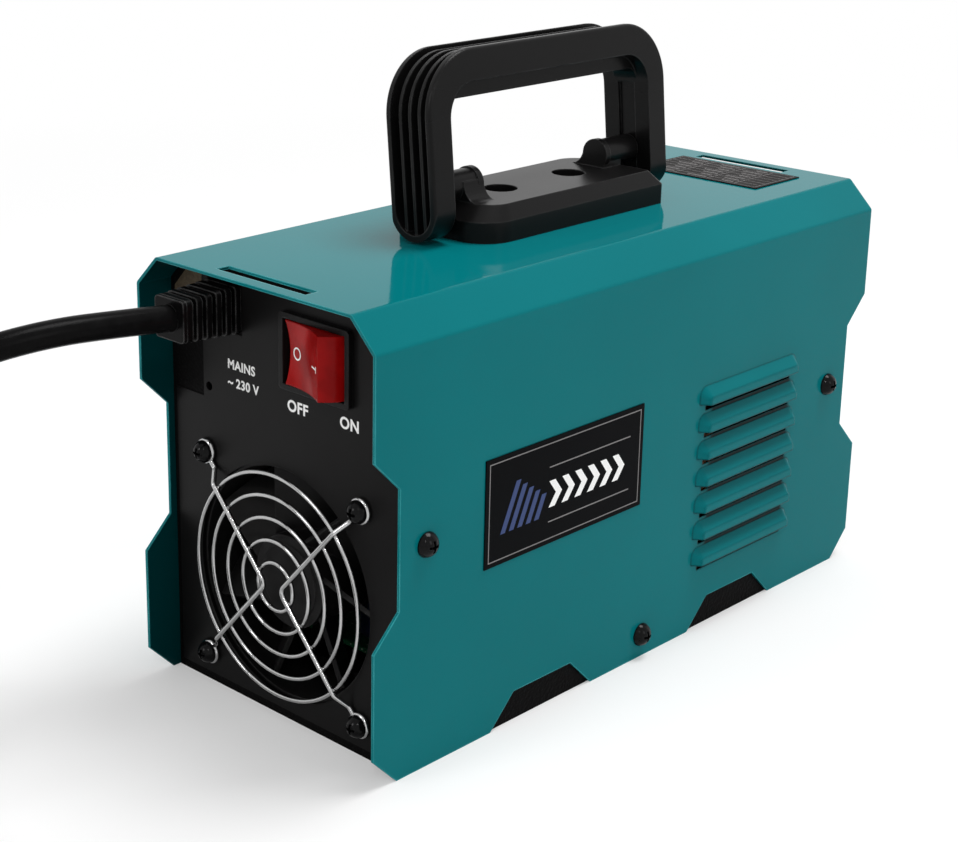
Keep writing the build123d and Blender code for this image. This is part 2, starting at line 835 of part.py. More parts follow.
def make_fan_guard():
    plane_y = mains_face - film - guard_spoke_wire
    spoke_y = mains_face - guard_stand_off
    ring_y = spoke_y + guard_spoke_wire + 0.40
    z = fan_centre_height
    parts = []
    for index in range(guard_ring_count):
        share = index / (guard_ring_count - 1)
        radius = guard_inner_ring + (guard_outer_ring - guard_inner_ring) * share
        frame = Plane(origin=(0, ring_y, z), z_dir=(0, 1, 0))
        parts.append(frame * Torus(radius, guard_ring_wire))
    for x, cz in fan_corner_places():
        frame = Plane(origin=(x, plane_y, cz), z_dir=(0, 1, 0))
        parts.append(frame * Torus(guard_eye_radius, guard_spoke_wire))
    half = fan_size / 2 - fan_hole_inset
    run = (half - guard_bend_offset, half)
    length = math.hypot(*run)
    step = (run[0] / length, run[1] / length)
    for side in (-1, 1):
        def at(distance, y, sign):
            x = side * (half - step[0] * distance)
            return Vector(x, y, z + sign * (half - step[1] * distance))
        points = [
            at(guard_eye_radius, plane_y, 1), at(guard_eye_radius + 3, plane_y, 1),
            at(guard_eye_radius + 8, spoke_y, 1),
            Vector(side * guard_bend_offset, spoke_y, z),
            at(guard_eye_radius + 8, spoke_y, -1), at(guard_eye_radius + 3, plane_y, -1),
            at(guard_eye_radius, plane_y, -1),
        ]
        path = FilletPolyline(*points, radius=[2.0, 2.0, 3.0, 2.0, 2.0])
        section = Plane(origin=path @ 0, z_dir=path % 0) * Circle(guard_spoke_wire)
        parts.append(sweep(section, path=path))
    return joined(parts)


def make_guard_screws():
    seat = mains_face - film - 2 * guard_spoke_wire
    length = fan_depth + sheet + film + 2 * guard_spoke_wire + 4.0
    return group([
        facing((x, seat, z), (0, -1, 0))
        * pan_screw(guard_head_radius, m4_head_height, m4_radius, length)
        for x, z in fan_corner_places()
    ])


def make_fan_nuts():
    return group([
        facing((x, fan_back, z), (0, 1, 0)) * hex_nut(7.0, 3.2, m4_radius + thread_play)
        for x, z in fan_corner_places()
    ])


# ================================================================ switch
def rocker_axis_y():
    return mains_face + rocker_pivot_inset


def make_switch_body():
    back_of_bezel = mains_face - film
    front = back_of_bezel - bezel_thickness
    rear = back_of_bezel + switch_body_depth
    x, z = switch_x, switch_height
    bezel = centred(bezel_width, bezel_height, x, z, (front, back_of_bezel))
    bezel = fillet(bezel.edges().filter_by(Axis.Y), 1.2)
    body = centred(switch_body_width, switch_body_height, x, z, (back_of_bezel, rear))
    axis_y = rocker_axis_y()
    cavity = centred(2 * cavity_half, cavity_height, x, z, (front - 1, axis_y + cavity_half))
    pivots = rod(
        rocker_pin_radius + rocker_pin_play,
        (x, axis_y, z - switch_body_height), (x, axis_y, z + switch_body_height),
    )
    return bezel.fuse(body).cut(cavity, pivots)


def rocker_section(scoop, z):
    """The rocker's outline about its axis, with its O side deeper by the scoop."""
    angle = math.radians(rocker_half_angle)
    low = math.radians(rocker_half_angle + 38)
    r = rocker_radius

    def on_barrel(turn, side=1):
        return (side * r * math.sin(turn), -r * math.cos(turn))

    edge, pressed_edge = on_barrel(angle), (-r * math.sin(angle), -r * math.cos(angle) + scoop)
    dish = (0, edge[1] + rocker_dish + 0.3 * scoop)
    middle = (angle + low) / 2
    outline = Curve() + [
        ThreePointArc(pressed_edge, dish, edge),
        ThreePointArc(edge, on_barrel(middle), on_barrel(low)),
        Polyline(on_barrel(low), (4.0, 3.5), (-4.0, 3.5), on_barrel(low, -1)),
        ThreePointArc(on_barrel(low, -1), on_barrel(middle, -1), pressed_edge),
    ]
    return Pos(0, 0, z) * make_face(outline)


def make_rocker():
    """The rocker about its own axis, then tilted so that its O side is pressed in."""
    half = rocker_height / 2
    body = loft([rocker_section(0, -half), rocker_section(rocker_scoop, 0),
                 rocker_section(0, half)])
    reach = switch_body_height / 2 - 0.2
    body = body.fuse(rod(rocker_pin_radius, (0, 0, -reach), (0, 0, reach)))
    place = Pos(switch_x, rocker_axis_y(), switch_height)
    return place * Rot(0, 0, -rocker_tilt) * body


def make_switch_tabs():
    rear = mains_face - film + switch_body_depth
    tabs = []
    for dx in (-8, 8):
        for dz in (-5, 5):
            tabs.append(centred(6.3, 0.8, switch_x + dx, switch_height + dz, (rear, rear + 8)))
    return group(tabs)


# ================================================================ strain relief and lead
def relief_section(share, extra=0.0):
    """Width and height of the relief at a share of its reach from the panel."""
    return [root + (tip - root) * share - extra for root, tip in zip(relief_root, relief_tip)]


def make_strain_relief():
    pitch = relief_reach / relief_ribs
    rib = 0.62 * pitch
    parts = []
    for index in range(relief_ribs):
        start = mains_face - index * pitch
        width, height = relief_section((index + 0.5) / relief_ribs)
        plate = centred(width, height, lead_x, lead_height, (start - rib, start))
        parts.append(fillet(plate.edges().filter_by(Axis.Y), 1.5))
    width, height = relief_section(1.0, 3.4)
    tip = mains_face - relief_reach
    parts.append(centred(width, height, lead_x, lead_height, (tip, mains_face)))
    width, height = relief_section(1.0)
    nose = centred(width, height, lead_x, lead_height, (tip, tip + rib))
    parts.append(fillet(nose.edges().filter_by(Axis.Y), 1.5))
    neck = centred(*relief_neck, lead_x, lead_height, (mains_face, mains_face + relief_tail))
    clip = centred(relief_neck[0] + 2.4, relief_neck[1] + 2.4, lead_x, lead_height,
                   (mains_face + sheet, mains_face + sheet + 2.5))
    start, following = Vector(*lead_route[0]), Vector(*lead_route[1])
    mouth = start + (following - start).normalized() * 3 * relief_bore
    return joined(parts + [neck, clip]) - rod(lead_diameter / 2, start, mouth)


def lead_radii(points):
    """Each arc takes 0.45 of its shorter run, over the tangent of half its turn."""
    radii = []
    for before, here, after in zip(points, points[1:], points[2:]):
        run_in = Vector(*here) - Vector(*before)
        run_out = Vector(*after) - Vector(*here)
        half = math.radians(run_in.get_angle(run_out)) / 2
        radii.append(0.45 * min(run_in.length, run_out.length) / math.tan(half))
    return radii


def lead_tube(name, points):
    radii = lead_radii(points)
    path = FilletPolyline(*[Vector(*p) for p in points], radius=radii)
    start = Plane(origin=path @ 0, z_dir=path % 0)
    tube = sweep(start * Circle(lead_diameter / 2), path=path)
    section = math.pi * lead_diameter ** 2 / 4
    print(name, "length", round(path.length, 1), "volume/section*length",
          round(tube.volume / (section * path.length), 4),
          "radii", [round(r) for r in radii])
    return tube


def coil_outer_turn():
    """Radius of the outermost turn's middle."""
    return coil_mid_radius + coil_layer_turns * lead_diameter / 2


def make_coil():
    """The outer shape of the wound lead: one flat spiral on another."""
    reach = coil_outer_turn() - coil_mid_radius + lead_diameter / 2
    low, high = coil_mid_radius - reach, coil_mid_radius + reach
    top = 2 * lead_diameter
    outline = Polyline((low, 0, 0), (high, 0, 0), (high, 0, top), (low, 0, top), close=True)
    face = fillet(make_face(outline).vertices(), 0.4 * lead_diameter)
    return Pos(*coil_centre, 0) * revolve(face, Axis.Z, 360)


def tail_points():
    """A tangent off the outer turn on the floor, then up to the plug's outlet."""
    angle = math.radians(coil_tail_angle)
    r = coil_outer_turn()
    leave = math.sqrt((r + lead_diameter / 2) ** 2 - r ** 2)
    along = (-math.sin(angle), math.cos(angle))
    foot = (coil_centre[0] + r * math.cos(angle), coil_centre[1] + r * math.sin(angle))

    def at(share, aside, lift):
        reach = leave + share * tail_length
        return (foot[0] + along[0] * reach + along[1] * aside,
                foot[1] + along[1] * reach - along[0] * aside, lead_diameter / 2 + lift)

    return [at(0, 0, 0), at(0.3, 0, 0), at(0.66, -0.8, 1.4), at(1, -2.3, 4.6)]


def make_plug():
    """An angled two-pin plug lying on its back, pins up."""
    before, end = [Vector(*point) for point in tail_points()[-2:]]
    last_run = (end - before).normalized()
    out = Vector(last_run.X, last_run.Y, 0).normalized()
    face = Plane(origin=end, z_dir=last_run)
    root = lead_diameter / 2 + plug_outlet_wall
    outlet = face * Pos(0, 0, plug_outlet / 2) * Cone(root, root + 2.8, plug_outlet)
    centre = end + out * (plug_outlet + plug_radius - 3.0)
    body = Pos(centre.X, centre.Y, plug_height / 2) * Cone(plug_radius, plug_radius - 1.5,
                                                           plug_height)
    body = fillet(body.edges().group_by(Axis.Z)[0], 2.0)
    keep = Pos(centre.X, centre.Y, plug_height) * Box(200, 200, 2 * plug_height)
    outlet &= keep
    side = Vector(-out.Y, out.X, 0)
    pins = []
    for sign in (-1, 1):
        foot = centre + side * (sign * plug_pin_spacing / 2)
        low = (foot.X, foot.Y, plug_height)
        high = (foot.X, foot.Y, plug_height + plug_pin_length)
        pin = rod(plug_pin_radius, low, high)
        pins.append(fillet(pin.edges().group_by(Axis.Z)[-1], 1.5))
    return body.fuse(outlet), group(pins)


# ================================================================ output end
def make_socket_flanges():
    """Insulating housings of the two output sockets."""
    flanges = []
    for x, z in socket_places():
        ring = rod(socket_flange_radius, (x, output_face, z), (x, socket_front, z))
        ring = chamfer(ring.edges().group_by(Axis.Y)[-1], 2.0)
        sleeve = rod(socket_body_radius, (x, socket_back, z), (x, output_face, z))
        core = rod(contact_radius, (x, socket_back - 1, z), (x, socket_front + 1, z))
        flanges.append(ring.fuse(sleeve) - core)
    return group(flanges)


def make_socket_contacts():
    """Brass sockets with a bore and a keyway for the twist-lock plugs."""
    contacts = []
    for x, z in socket_places():
        front = contact_front
        body = rod(contact_radius, (x, socket_back, z), (x, front, z))
        bolt = rod(4.0, (x, socket_back - 14.0, z), (x, socket_back, z))
        body = body.fuse(bolt)
        body -= rod(socket_bore_radius, (x, front - socket_bore_depth, z), (x, front + 1, z))
        key = block((x - 1.6, x + 1.6), (front - 9.0, front + 1),
                    (z, z + socket_bore_radius + 1.4))
        contacts.append(body - key)
    return group(contacts)


def make_socket_nuts():
    """Large plastic nuts that clamp the sockets behind the panel."""
    back = output_face - sheet
    nuts = []
    for x, z in socket_places():
        nut = facing((x, back, z), (0, -1, 0)) * hex_nut(
            2 * (socket_body_radius + socket_nut_wall), 6.0, socket_body_radius + fit_gap
        )
        nuts.append(nut)
    return group(nuts)


def make_knob():
    """Current knob with a skirt, grip flutes and a pointer groove."""
    start = output_face + film + 0.5
    end = start + knob_length
    z = knob_height
    skirt = rod(knob_radius + 2.0, (0, start, z), (0, start + 2.0, z))
    body = rod(knob_radius, (0, start + 2.0, z), (0, end, z))
    body = chamfer(body.edges().group_by(Axis.Y)[-1], 1.0)
    knob = skirt.fuse(body)
    flutes = []
    for n in range(12):
        turn = math.radians(30 * n + 15)
        x, dz = knob_radius * 1.08 * math.cos(turn), knob_radius * 1.08 * math.sin(turn)
        flutes.append(rod(2.0, (x, start + 2.0, z + dz), (x, end + 1, z + dz)))
    pointer = block((-0.6, 0.6), (end - 0.8, end + 1), (z + 3.0, z + knob_radius + 1))
    bore = rod(knob_shaft_radius + thread_play, (0, start - 1, z), (0, end - 2.5, z))
    return knob.cut(*flutes, pointer, bore)


def make_pot_shaft():
    z = knob_height
    start = output_face + film + 0.5
    return rod(knob_shaft_radius, (0, output_face - sheet - 4.0, z), (0, start + knob_length - 3.0, z))


def make_potentiometer():
    """Bushing through the panel, with its can behind."""
    z = knob_height
    back = output_face - sheet
    bore = knob_shaft_radius + thread_play
    bush = rod(3.5, (0, back - 1, z), (0, output_face + film, z))
    can = rod(8.5, (0, back - 10.0, z), (0, back, z))
    hollow = rod(bore, (0, back - 5.0, z), (0, output_face + 1, z))
    return bush.fuse(can) - hollow


def make_window():
    return centred(window_width, window_height, 0, window_z,
                   (output_face - sheet, output_face + film))


def make_lamps():
    lamps = []
    for x in (-lamp_spacing, lamp_spacing):
        stem = rod(lamp_radius, (x, output_face - 6.0, window_z), (x, output_face + 1.2, window_z))
        base = rod(lamp_radius + 0.5, (x, output_face - 8.0, window_z),
                   (x, output_face - 6.0, window_z))
        dome = Pos(x, output_face + 1.2, window_z) * Sphere(lamp_radius)
        dome -= block((x - 4, x + 4), (output_face - 5, output_face + 1.2),
                      (window_z - 4, window_z + 4))
        lamps.append(stem.fuse(base, dome))
    return group(lamps)


def make_display_board():
    """The small board that carries the display, the lamps and the potentiometer's can."""
    front = output_face - 8.0
    board = centred(76.0, 24.0, 0, window_z, (front - 1.6, front))
    return board


def make_display_module():
    front = output_face - sheet
    return centred(30.0, 14.0, 0, window_z, (output_face - 8.0, front))


# ================================================================ power electronics
def make_main_board():
    low = sheet + board_lift
    half_w, half_l = board_width / 2, board_length / 2
    board = block((-half_w, half_w), (board_y - half_l, board_y + half_l),
                  (low, low + board_thickness))
    holes = [rod(1.7, (x, y, low - 1), (x, y, low + 5)) for x, y in board_hole_places()]
    return board.cut(*holes)


def make_standoffs():
    posts = []
    for x, y in board_hole_places():
        post = Pos(x, y, sheet) * extrude(RegularPolygon(2.75, 6, major_radius=False), board_lift)
        posts.append(post - rod(1.55, (x, y, 0), (x, y, board_lift + 2 * sheet)))
    return group(posts)


def make_board_screws():
    return group([
        Pos(x, y, board_top) * pan_screw(2.9, 2.2, 1.5, 7.0) for x, y in board_hole_places()
    ])


heatsink_height = 62.0
heatsink_length = 74.0
heatsink_x = 30.0
heatsink_y = -22.0


def make_heatsink():
    """An extruded heatsink: a spine with fins to both sides, on the board."""
    y0, y1 = heatsink_y - heatsink_length / 2, heatsink_y + heatsink_length / 2
    z0, z1 = board_top, board_top + heatsink_height
    spine = block((heatsink_x - 2.5, heatsink_x + 2.5), (y0, y1), (z0, z1))
    fins = []
    count = 10
    for n in range(count):
        z = z0 + 3 + n * (heatsink_height - 6) / (count - 1)
        fins.append(block((heatsink_x - 2.5, heatsink_x + 15.0), (y0, y1), (z - 0.8, z + 0.8)))
    return spine.fuse(*fins)


def make_transistors():
    """Flat power packages clamped on the inner faces of both heatsinks."""
    packages = []
    face = heatsink_x - 2.5
    for n in range(4):
        y = heatsink_y - 27 + 18 * n
        body = block((face - 5.0, face), (y - 7.9, y + 7.9), (board_top + 8, board_top + 29))
        legs = [
            block((face - 2.6, face - 1.8), (y + dy - 0.6, y + dy + 0.6), (board_top, board_top + 8))
            for dy in (-5.4, 0, 5.4)
        ]
        package = body.fuse(*legs)
        packages += [package, mirrored_x(package)]
    return group(packages)


transformer_y = 52.0
core_width = 50.0
core_depth = 40.0
core_height = 46.0
core_leg = 12.0


def make_transformer_core():
    z0, z1 = board_top, board_top + core_height
    half_w, half_d = core_width / 2, core_depth / 2
    core = block((-half_w, half_w), (transformer_y - half_d / 2, transformer_y + half_d / 2),
                 (z0, z1))
    for side in (-1, 1):
        window = sorted((side * core_leg / 2, side * (half_w - core_leg / 2)))
        core -= block(window, (transformer_y - half_d, transformer_y + half_d),
                      (z0 + core_leg / 2, z1 - core_leg / 2))
    return core


def make_transformer_winding():
    """Copper and tape round the middle leg, filling most of both windows."""
    play = 0.5
    z0, z1 = board_top + core_leg / 2 + play, board_top + core_height - core_leg / 2 - play
    x = core_width / 2 - core_leg / 2 - play
    y = core_depth / 2
    leg_y = core_depth / 4 + play
    body = block((-x, x), (transformer_y - y, transformer_y + y), (z0, z1))
    body = fillet(body.edges().filter_by(Axis.Z), 6.0)
    leg = core_leg / 2 + play
    return body - block((-leg, leg), (transformer_y - leg_y, transformer_y + leg_y),
                        (z0 - 1, z1 + 1))


def make_output_choke():
    """A wound ring core standing on the board beside the sockets."""
    z = board_top + 20.0
    middle = (0, socket_back - 0.8 - 7.0, z)
    ring = Plane(origin=middle, z_dir=(0, 1, 0)) * (Cylinder(20.0, 14.0) - Cylinder(9.0, 16.0))
    return fillet(ring.edges(), 3.0)


def make_capacitors():
    cans = []
    for y in (-66.0, -70.0 + 32.0):
        cans.append(rod(12.5, (0, y, board_top), (0, y, board_top + 46.0)))
    return group([chamfer(c.edges().group_by(Axis.Z)[-1], 1.0) for c in cans])


def make_rectifier():
    """The bridge rectifier, flat on the board in the fan's air."""
    return block((-20.0, -2.0), (-14.0, 14.0), (board_top, board_top + 9.0))


def make_relay():
    return block((3.0, 18.0), (-10.0, 18.0), (board_top, board_top + 16.0))


def make_control_board():
    """The upright control board, plugged into the main board."""
    return block((-40.0, -38.4), (30.0, 92.0), (board_top, board_top + 58.0))


def make_control_parts():
    """Chips and small cans on the control board."""
    face = -38.4
    parts = []
    for y, z, w, h, t in (
        (44, 18, 18, 8, 3.0), (68, 18, 14, 8, 3.0), (52, 38, 10, 10, 6.0), (76, 40, 8, 12, 6.0),
    ):
        parts.append(block((face, face + t), (y - w / 2, y + w / 2),
                           (board_top + z - h / 2, board_top + z + h / 2)))
    return group(parts)


def make_busbars():
    """Copper straps from the board up to the output sockets' bolts."""
    straps = []
    for x, z in socket_places():
        strap = block((x - 7, x + 7), (socket_back - 3.0, socket_back), (board_top, z + 8))
        strap -= rod(4.0 + fit_gap, (x, socket_back - 5, z), (x, socket_back + 1, z))
        straps.append(strap)
    return group(straps)


def make_busbar_nuts():
    back = socket_back - 3.0
    return group([
        facing((x, back, z), (0, -1, 0)) * hex_nut(13.0, 5.0, 4.0 + thread_play)
        for x, z in socket_places()
    ])


def make_insulation():
    """A tan fibre sheet lining the cover above the lead's entry."""
    y0, y1 = mains_face + sheet + fit_gap, mains_face + sheet + 60.0
    x0 = -half_width + shoulder + 2.0
    return block((x0, -13.0), (y0, y1), (inner_z - 0.8, inner_z))


# ================================================================ plates
def make_nameplate():
    half_l, half_h = nameplate_length / 2, nameplate_height / 2
    return block((half_width, half_width + nameplate_thickness),
                 (nameplate_y - half_l, nameplate_y + half_l),
                 (nameplate_z - half_h, nameplate_z + half_h))


def make_rating_plate():
    half_w, half_l = rating_width / 2, rating_length / 2
    return block((rating_x - half_w, rating_x + half_w),
                 (rating_y - half_l, rating_y + half_l),
                 (case_height, case_height + nameplate_thickness))


# ================================================================ build
save("cover", make_cover())
save("chassis_tray", make_tray())
save("mains_end_panel", make_mains_panel())
save("mains_panel_film", make_mains_film())
save("output_end_panel", make_output_panel())
save("output_panel_film", make_output_film())
save("cover_screws", make_cover_screws())
save("clinch_nuts", make_clinch_nuts())
save("nameplate_right", make_nameplate())
save("nameplate_left", mirrored_x(make_nameplate()))
save("rating_plate", make_rating_plate())

save("handle_base", make_handle_base())
save("handle_grip", make_grip())
save("hinge_pins", make_hinge_pins())
save("handle_screws", make_handle_screws())
save("handle_plate", make_handle_plate())

save("fan_frame", make_fan_frame())
save("fan_rotor", make_fan_rotor())
save("fan_guard", make_fan_guard())
save("guard_screws", make_guard_screws())
save("fan_nuts", make_fan_nuts())

save("switch_body", make_switch_body())
save("switch_rocker", make_rocker())
save("switch_tabs", make_switch_tabs())

save("strain_relief", make_strain_relief())
save("mains_cord", lead_tube("mains_cord", lead_route))
save("cord_coil", make_coil())
save("cord_tail", lead_tube("cord_tail", tail_points()))
plug_body, plug_pins = make_plug()
save("plug_body", plug_body)
save("plug_pins", plug_pins)

save("socket_flanges", make_socket_flanges())
save("socket_contacts", make_socket_contacts())
save("socket_nuts", make_socket_nuts())
save("current_knob", make_knob())
save("knob_shaft", make_pot_shaft())
save("potentiometer", make_potentiometer())
save("display_window", make_window())
save("display_module", make_display_module())
save("display_board", make_display_board())
save("indicator_lamps", make_lamps())

save("main_board", make_main_board())
save("board_standoffs", make_standoffs())
save("board_screws", make_board_screws())
save("heatsink_right", make_heatsink())
save("heatsink_left", mirrored_x(make_heatsink()))
save("power_transistors", make_transistors())
save("transformer_core", make_transformer_core())
save("transformer_winding", make_transformer_winding())
save("output_choke", make_output_choke())
save("bus_capacitors", make_capacitors())
save("bridge_rectifier", make_rectifier())
save("inrush_relay", make_relay())
save("control_board", make_control_board())
save("control_parts", make_control_parts())
save("output_busbars", make_busbars())
save("busbar_nuts", make_busbar_nuts())
save("insulation_sheet", make_insulation())
print(len(nodes), "nodes")
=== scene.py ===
import json
import math

import bpy
from mathutils import Matrix, Vector
from mathutils.bvhtree import BVHTree


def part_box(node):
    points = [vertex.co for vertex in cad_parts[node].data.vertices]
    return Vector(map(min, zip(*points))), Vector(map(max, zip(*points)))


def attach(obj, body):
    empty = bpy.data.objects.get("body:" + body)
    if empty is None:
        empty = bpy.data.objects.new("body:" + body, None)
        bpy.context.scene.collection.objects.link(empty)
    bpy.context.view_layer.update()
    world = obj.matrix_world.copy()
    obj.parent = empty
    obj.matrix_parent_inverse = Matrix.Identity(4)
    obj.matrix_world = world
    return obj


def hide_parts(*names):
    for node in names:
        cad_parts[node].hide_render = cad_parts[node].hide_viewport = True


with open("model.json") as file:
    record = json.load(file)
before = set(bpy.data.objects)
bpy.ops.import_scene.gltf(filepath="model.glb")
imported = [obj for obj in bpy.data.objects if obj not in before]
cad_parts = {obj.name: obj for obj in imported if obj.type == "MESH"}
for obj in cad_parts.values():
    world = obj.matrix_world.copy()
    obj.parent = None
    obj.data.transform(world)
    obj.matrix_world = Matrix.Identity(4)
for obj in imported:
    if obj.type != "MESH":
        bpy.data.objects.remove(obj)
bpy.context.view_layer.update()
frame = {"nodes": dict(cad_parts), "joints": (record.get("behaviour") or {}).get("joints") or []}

MM = 0.001
scene = bpy.context.scene


# ---------------------------------------------------------------- camera
# The view from the mains end's right, with the lens axis left of and above the middle.
AZIMUTH, ELEVATION, ROLL = math.radians(44.77), math.radians(16.88), math.radians(0.45)
DISTANCE = 0.7218
AIM = Vector((-0.0702, 0.0, 0.0920))


def make_camera():
    data = bpy.data.cameras.new("camera")
    data.sensor_width = 36.0
    data.lens = 71.98
    data.shift_x = 0.0950
    data.shift_y = -0.0978
    data.clip_start, data.clip_end = 0.01, 50.0
    camera = bpy.data.objects.new("camera", data)
    scene.collection.objects.link(camera)
    back = Vector((
        math.sin(AZIMUTH) * math.cos(ELEVATION),
        -math.cos(AZIMUTH) * math.cos(ELEVATION),
        math.sin(ELEVATION),
    ))
    level_right = (-back).cross(Vector((0, 0, 1))).normalized()
    level_up = level_right.cross(-back)
    right = level_right * math.cos(ROLL) + level_up * math.sin(ROLL)
    up = level_up * math.cos(ROLL) - level_right * math.sin(ROLL)
    turn = Matrix((right, up, back)).transposed()
    camera.matrix_world = Matrix.Translation(AIM + back * DISTANCE) @ turn.to_4x4()
    scene.camera = camera


# ---------------------------------------------------------------- material tools
MIX_FACTOR, MIX_A, MIX_B, MIX_RESULT = 0, 6, 7, 2       # a colour mix node's sockets


class Shader:
    """A node material, with short calls for the nodes that every finish uses."""

    def __init__(self, name):
        self.material = bpy.data.materials.new(name)
        self.material.use_nodes = True
        self.tree = self.material.node_tree
        self.bsdf = self.tree.nodes["Principled BSDF"]
        self.place = self.add("ShaderNodeTexCoord").outputs["Object"]

    def add(self, kind, **settings):
        node = self.tree.nodes.new(kind)
        for key, value in settings.items():
            setattr(node, key, value)
        return node

    def link(self, output, socket):
        self.tree.links.new(output, socket)

    def scaled(self, factors):
        """The object's coordinates, stretched by a factor along each axis."""
        mapping = self.add("ShaderNodeMapping")
        mapping.inputs["Scale"].default_value = factors
        self.link(self.place, mapping.inputs["Vector"])
        return mapping.outputs["Vector"]

    def noise(self, scale, detail=2.0, place=None, rough=0.5):
        node = self.add("ShaderNodeTexNoise")
        node.inputs["Scale"].default_value = scale
        node.inputs["Detail"].default_value = detail
        node.inputs["Roughness"].default_value = rough
        self.link(place or self.place, node.inputs["Vector"])
        return node.outputs["Fac"]

    def cells(self, scale, feature="F1", place=None):
        node = self.add("ShaderNodeTexVoronoi", feature=feature)
        node.inputs["Scale"].default_value = scale
        self.link(place or self.place, node.inputs["Vector"])
        return node.outputs["Distance"]

    def ramp(self, factor, stops):
        node = self.add("ShaderNodeValToRGB")
        elements = node.color_ramp.elements
        while len(elements) < len(stops):
            elements.new(0.5)
        for element, (position, colour) in zip(elements, stops):
            element.position = position
            element.color = (*colour, 1.0)
        self.link(factor, node.inputs["Fac"])
        return node.outputs["Color"]

    def span(self, factor, low, high, start=0.0, end=1.0):
        node = self.add("ShaderNodeMapRange")
        for key, value in (("From Min", start), ("From Max", end),
                           ("To Min", low), ("To Max", high)):
            node.inputs[key].default_value = value
        self.link(factor, node.inputs["Value"])
        return node.outputs["Result"]

    def blend(self, factor, first, second):
        node = self.add("ShaderNodeMix", data_type="RGBA")
        for value, socket in ((factor, node.inputs[MIX_FACTOR]), (first, node.inputs[MIX_A]),
                              (second, node.inputs[MIX_B])):
            if isinstance(value, (tuple, float)):
                socket.default_value = (*value, 1.0) if isinstance(value, tuple) else value
            else:
                self.link(value, socket)
        return node.outputs[MIX_RESULT]

    def bump(self, height, depth, before=None, strength=1.0):
        """Relief of a depth in metres, on top of an earlier normal."""
        node = self.add("ShaderNodeBump")
        node.inputs["Strength"].default_value = strength
        node.inputs["Distance"].default_value = depth
        self.link(height, node.inputs["Height"])
        if before is not None:
            self.link(before, node.inputs["Normal"])
        return node.outputs["Normal"]

    def soft_edges(self, radius):
        """Normals that run smoothly over the sharp edges."""
        node = self.add("ShaderNodeBevel", samples=4)
        node.inputs["Radius"].default_value = radius
        return node.outputs["Normal"]

    def edges(self, radius, low=0.985, high=0.90):
        """1 on sharp edges and 0 away from them, from how far the rounded normal turns."""
        turned = self.add("ShaderNodeVectorMath", operation="DOT_PRODUCT")
        self.link(self.soft_edges(radius), turned.inputs[0])
        self.link(self.add("ShaderNodeNewGeometry").outputs["Normal"], turned.inputs[1])
        return self.span(turned.outputs["Value"], 0.0, 1.0, low, high)

    def inward(self, centre):
        """1 on the faces that look towards a point."""
        away = self.add("ShaderNodeVectorMath", operation="SUBTRACT")
        away.inputs[1].default_value = centre
        self.link(self.place, away.inputs[0])
        facing = self.add("ShaderNodeVectorMath", operation="DOT_PRODUCT")
        self.link(away.outputs[0], facing.inputs[0])
        self.link(self.add("ShaderNodeNewGeometry").outputs["Normal"], facing.inputs[1])
        return self.span(facing.outputs["Value"], 1.0, 0.0, -0.004, 0.0)

    def band(self, axis, low, high, blur=0.001):
        """1 between two coordinates along an axis."""
        split = self.add("ShaderNodeSeparateXYZ")
        self.link(self.place, split.inputs[0])
        over = self.span(split.outputs[axis], 0.0, 1.0, low - blur, low)
        under = self.span(split.outputs[axis], 1.0, 0.0, high, high + blur)
        return self.times(over, under)

    def repeated_band(self, axis, top, pitch, width, blur=0.0003):
        """1 in a band of a width below a coordinate, and in one like it at every pitch."""
        split = self.add("ShaderNodeSeparateXYZ")
        self.link(self.place, split.inputs[0])
        below = self.add("ShaderNodeMath", operation="SUBTRACT")
        far_above = top + 20 * pitch     # keeps the remainder's number positive
        below.inputs[0].default_value = far_above
        self.link(split.outputs[axis], below.inputs[1])
        depth = self.add("ShaderNodeMath", operation="MODULO")
        self.link(below.outputs[0], depth.inputs[0])
        depth.inputs[1].default_value = pitch
        return self.span(depth.outputs[0], 1.0, 0.0, width, width + blur)

    def times(self, first, second):
        node = self.add("ShaderNodeMath", operation="MULTIPLY")
        self.link(first, node.inputs[0])
        if isinstance(second, float):
            node.inputs[1].default_value = second
        else:
            self.link(second, node.inputs[1])
        return node.outputs[0]

    def set(self, **values):
        for key, value in values.items():
            socket = self.bsdf.inputs[key.replace("_", " ")]
            if isinstance(value, bpy.types.NodeSocket):
                self.link(value, socket)
            elif isinstance(value, tuple):
                socket.default_value = (*value, 1.0)
            else:
                socket.default_value = value
        return self.material


def darker(colour, share):
    return tuple(channel * share for channel in colour)


# ---------------------------------------------------------------- finishes
TEAL = (0.0010, 0.158, 0.175)
BLACK = (0.0045, 0.0043, 0.0044)
PRINT_WHITE = (0.95, 0.95, 0.94)

LOUVRES_Y, LOUVRES_Z = (0.023, 0.090), (0.020, 0.096)   # the field of louvres, in metres
SLITS_Y, SLITS_Z = (0.0355, 0.0815), (0.028, 0.0840)    # the slits between the hoods
HOOD_SHADOW_TOP, HOOD_SHADOW_WIDTH = 0.0327, 0.0009         # the painted shadow under the lowest hood
LOUVRE_PITCH = 0.010
CASE_MIDDLE = (0.0, 0.0, 0.074)


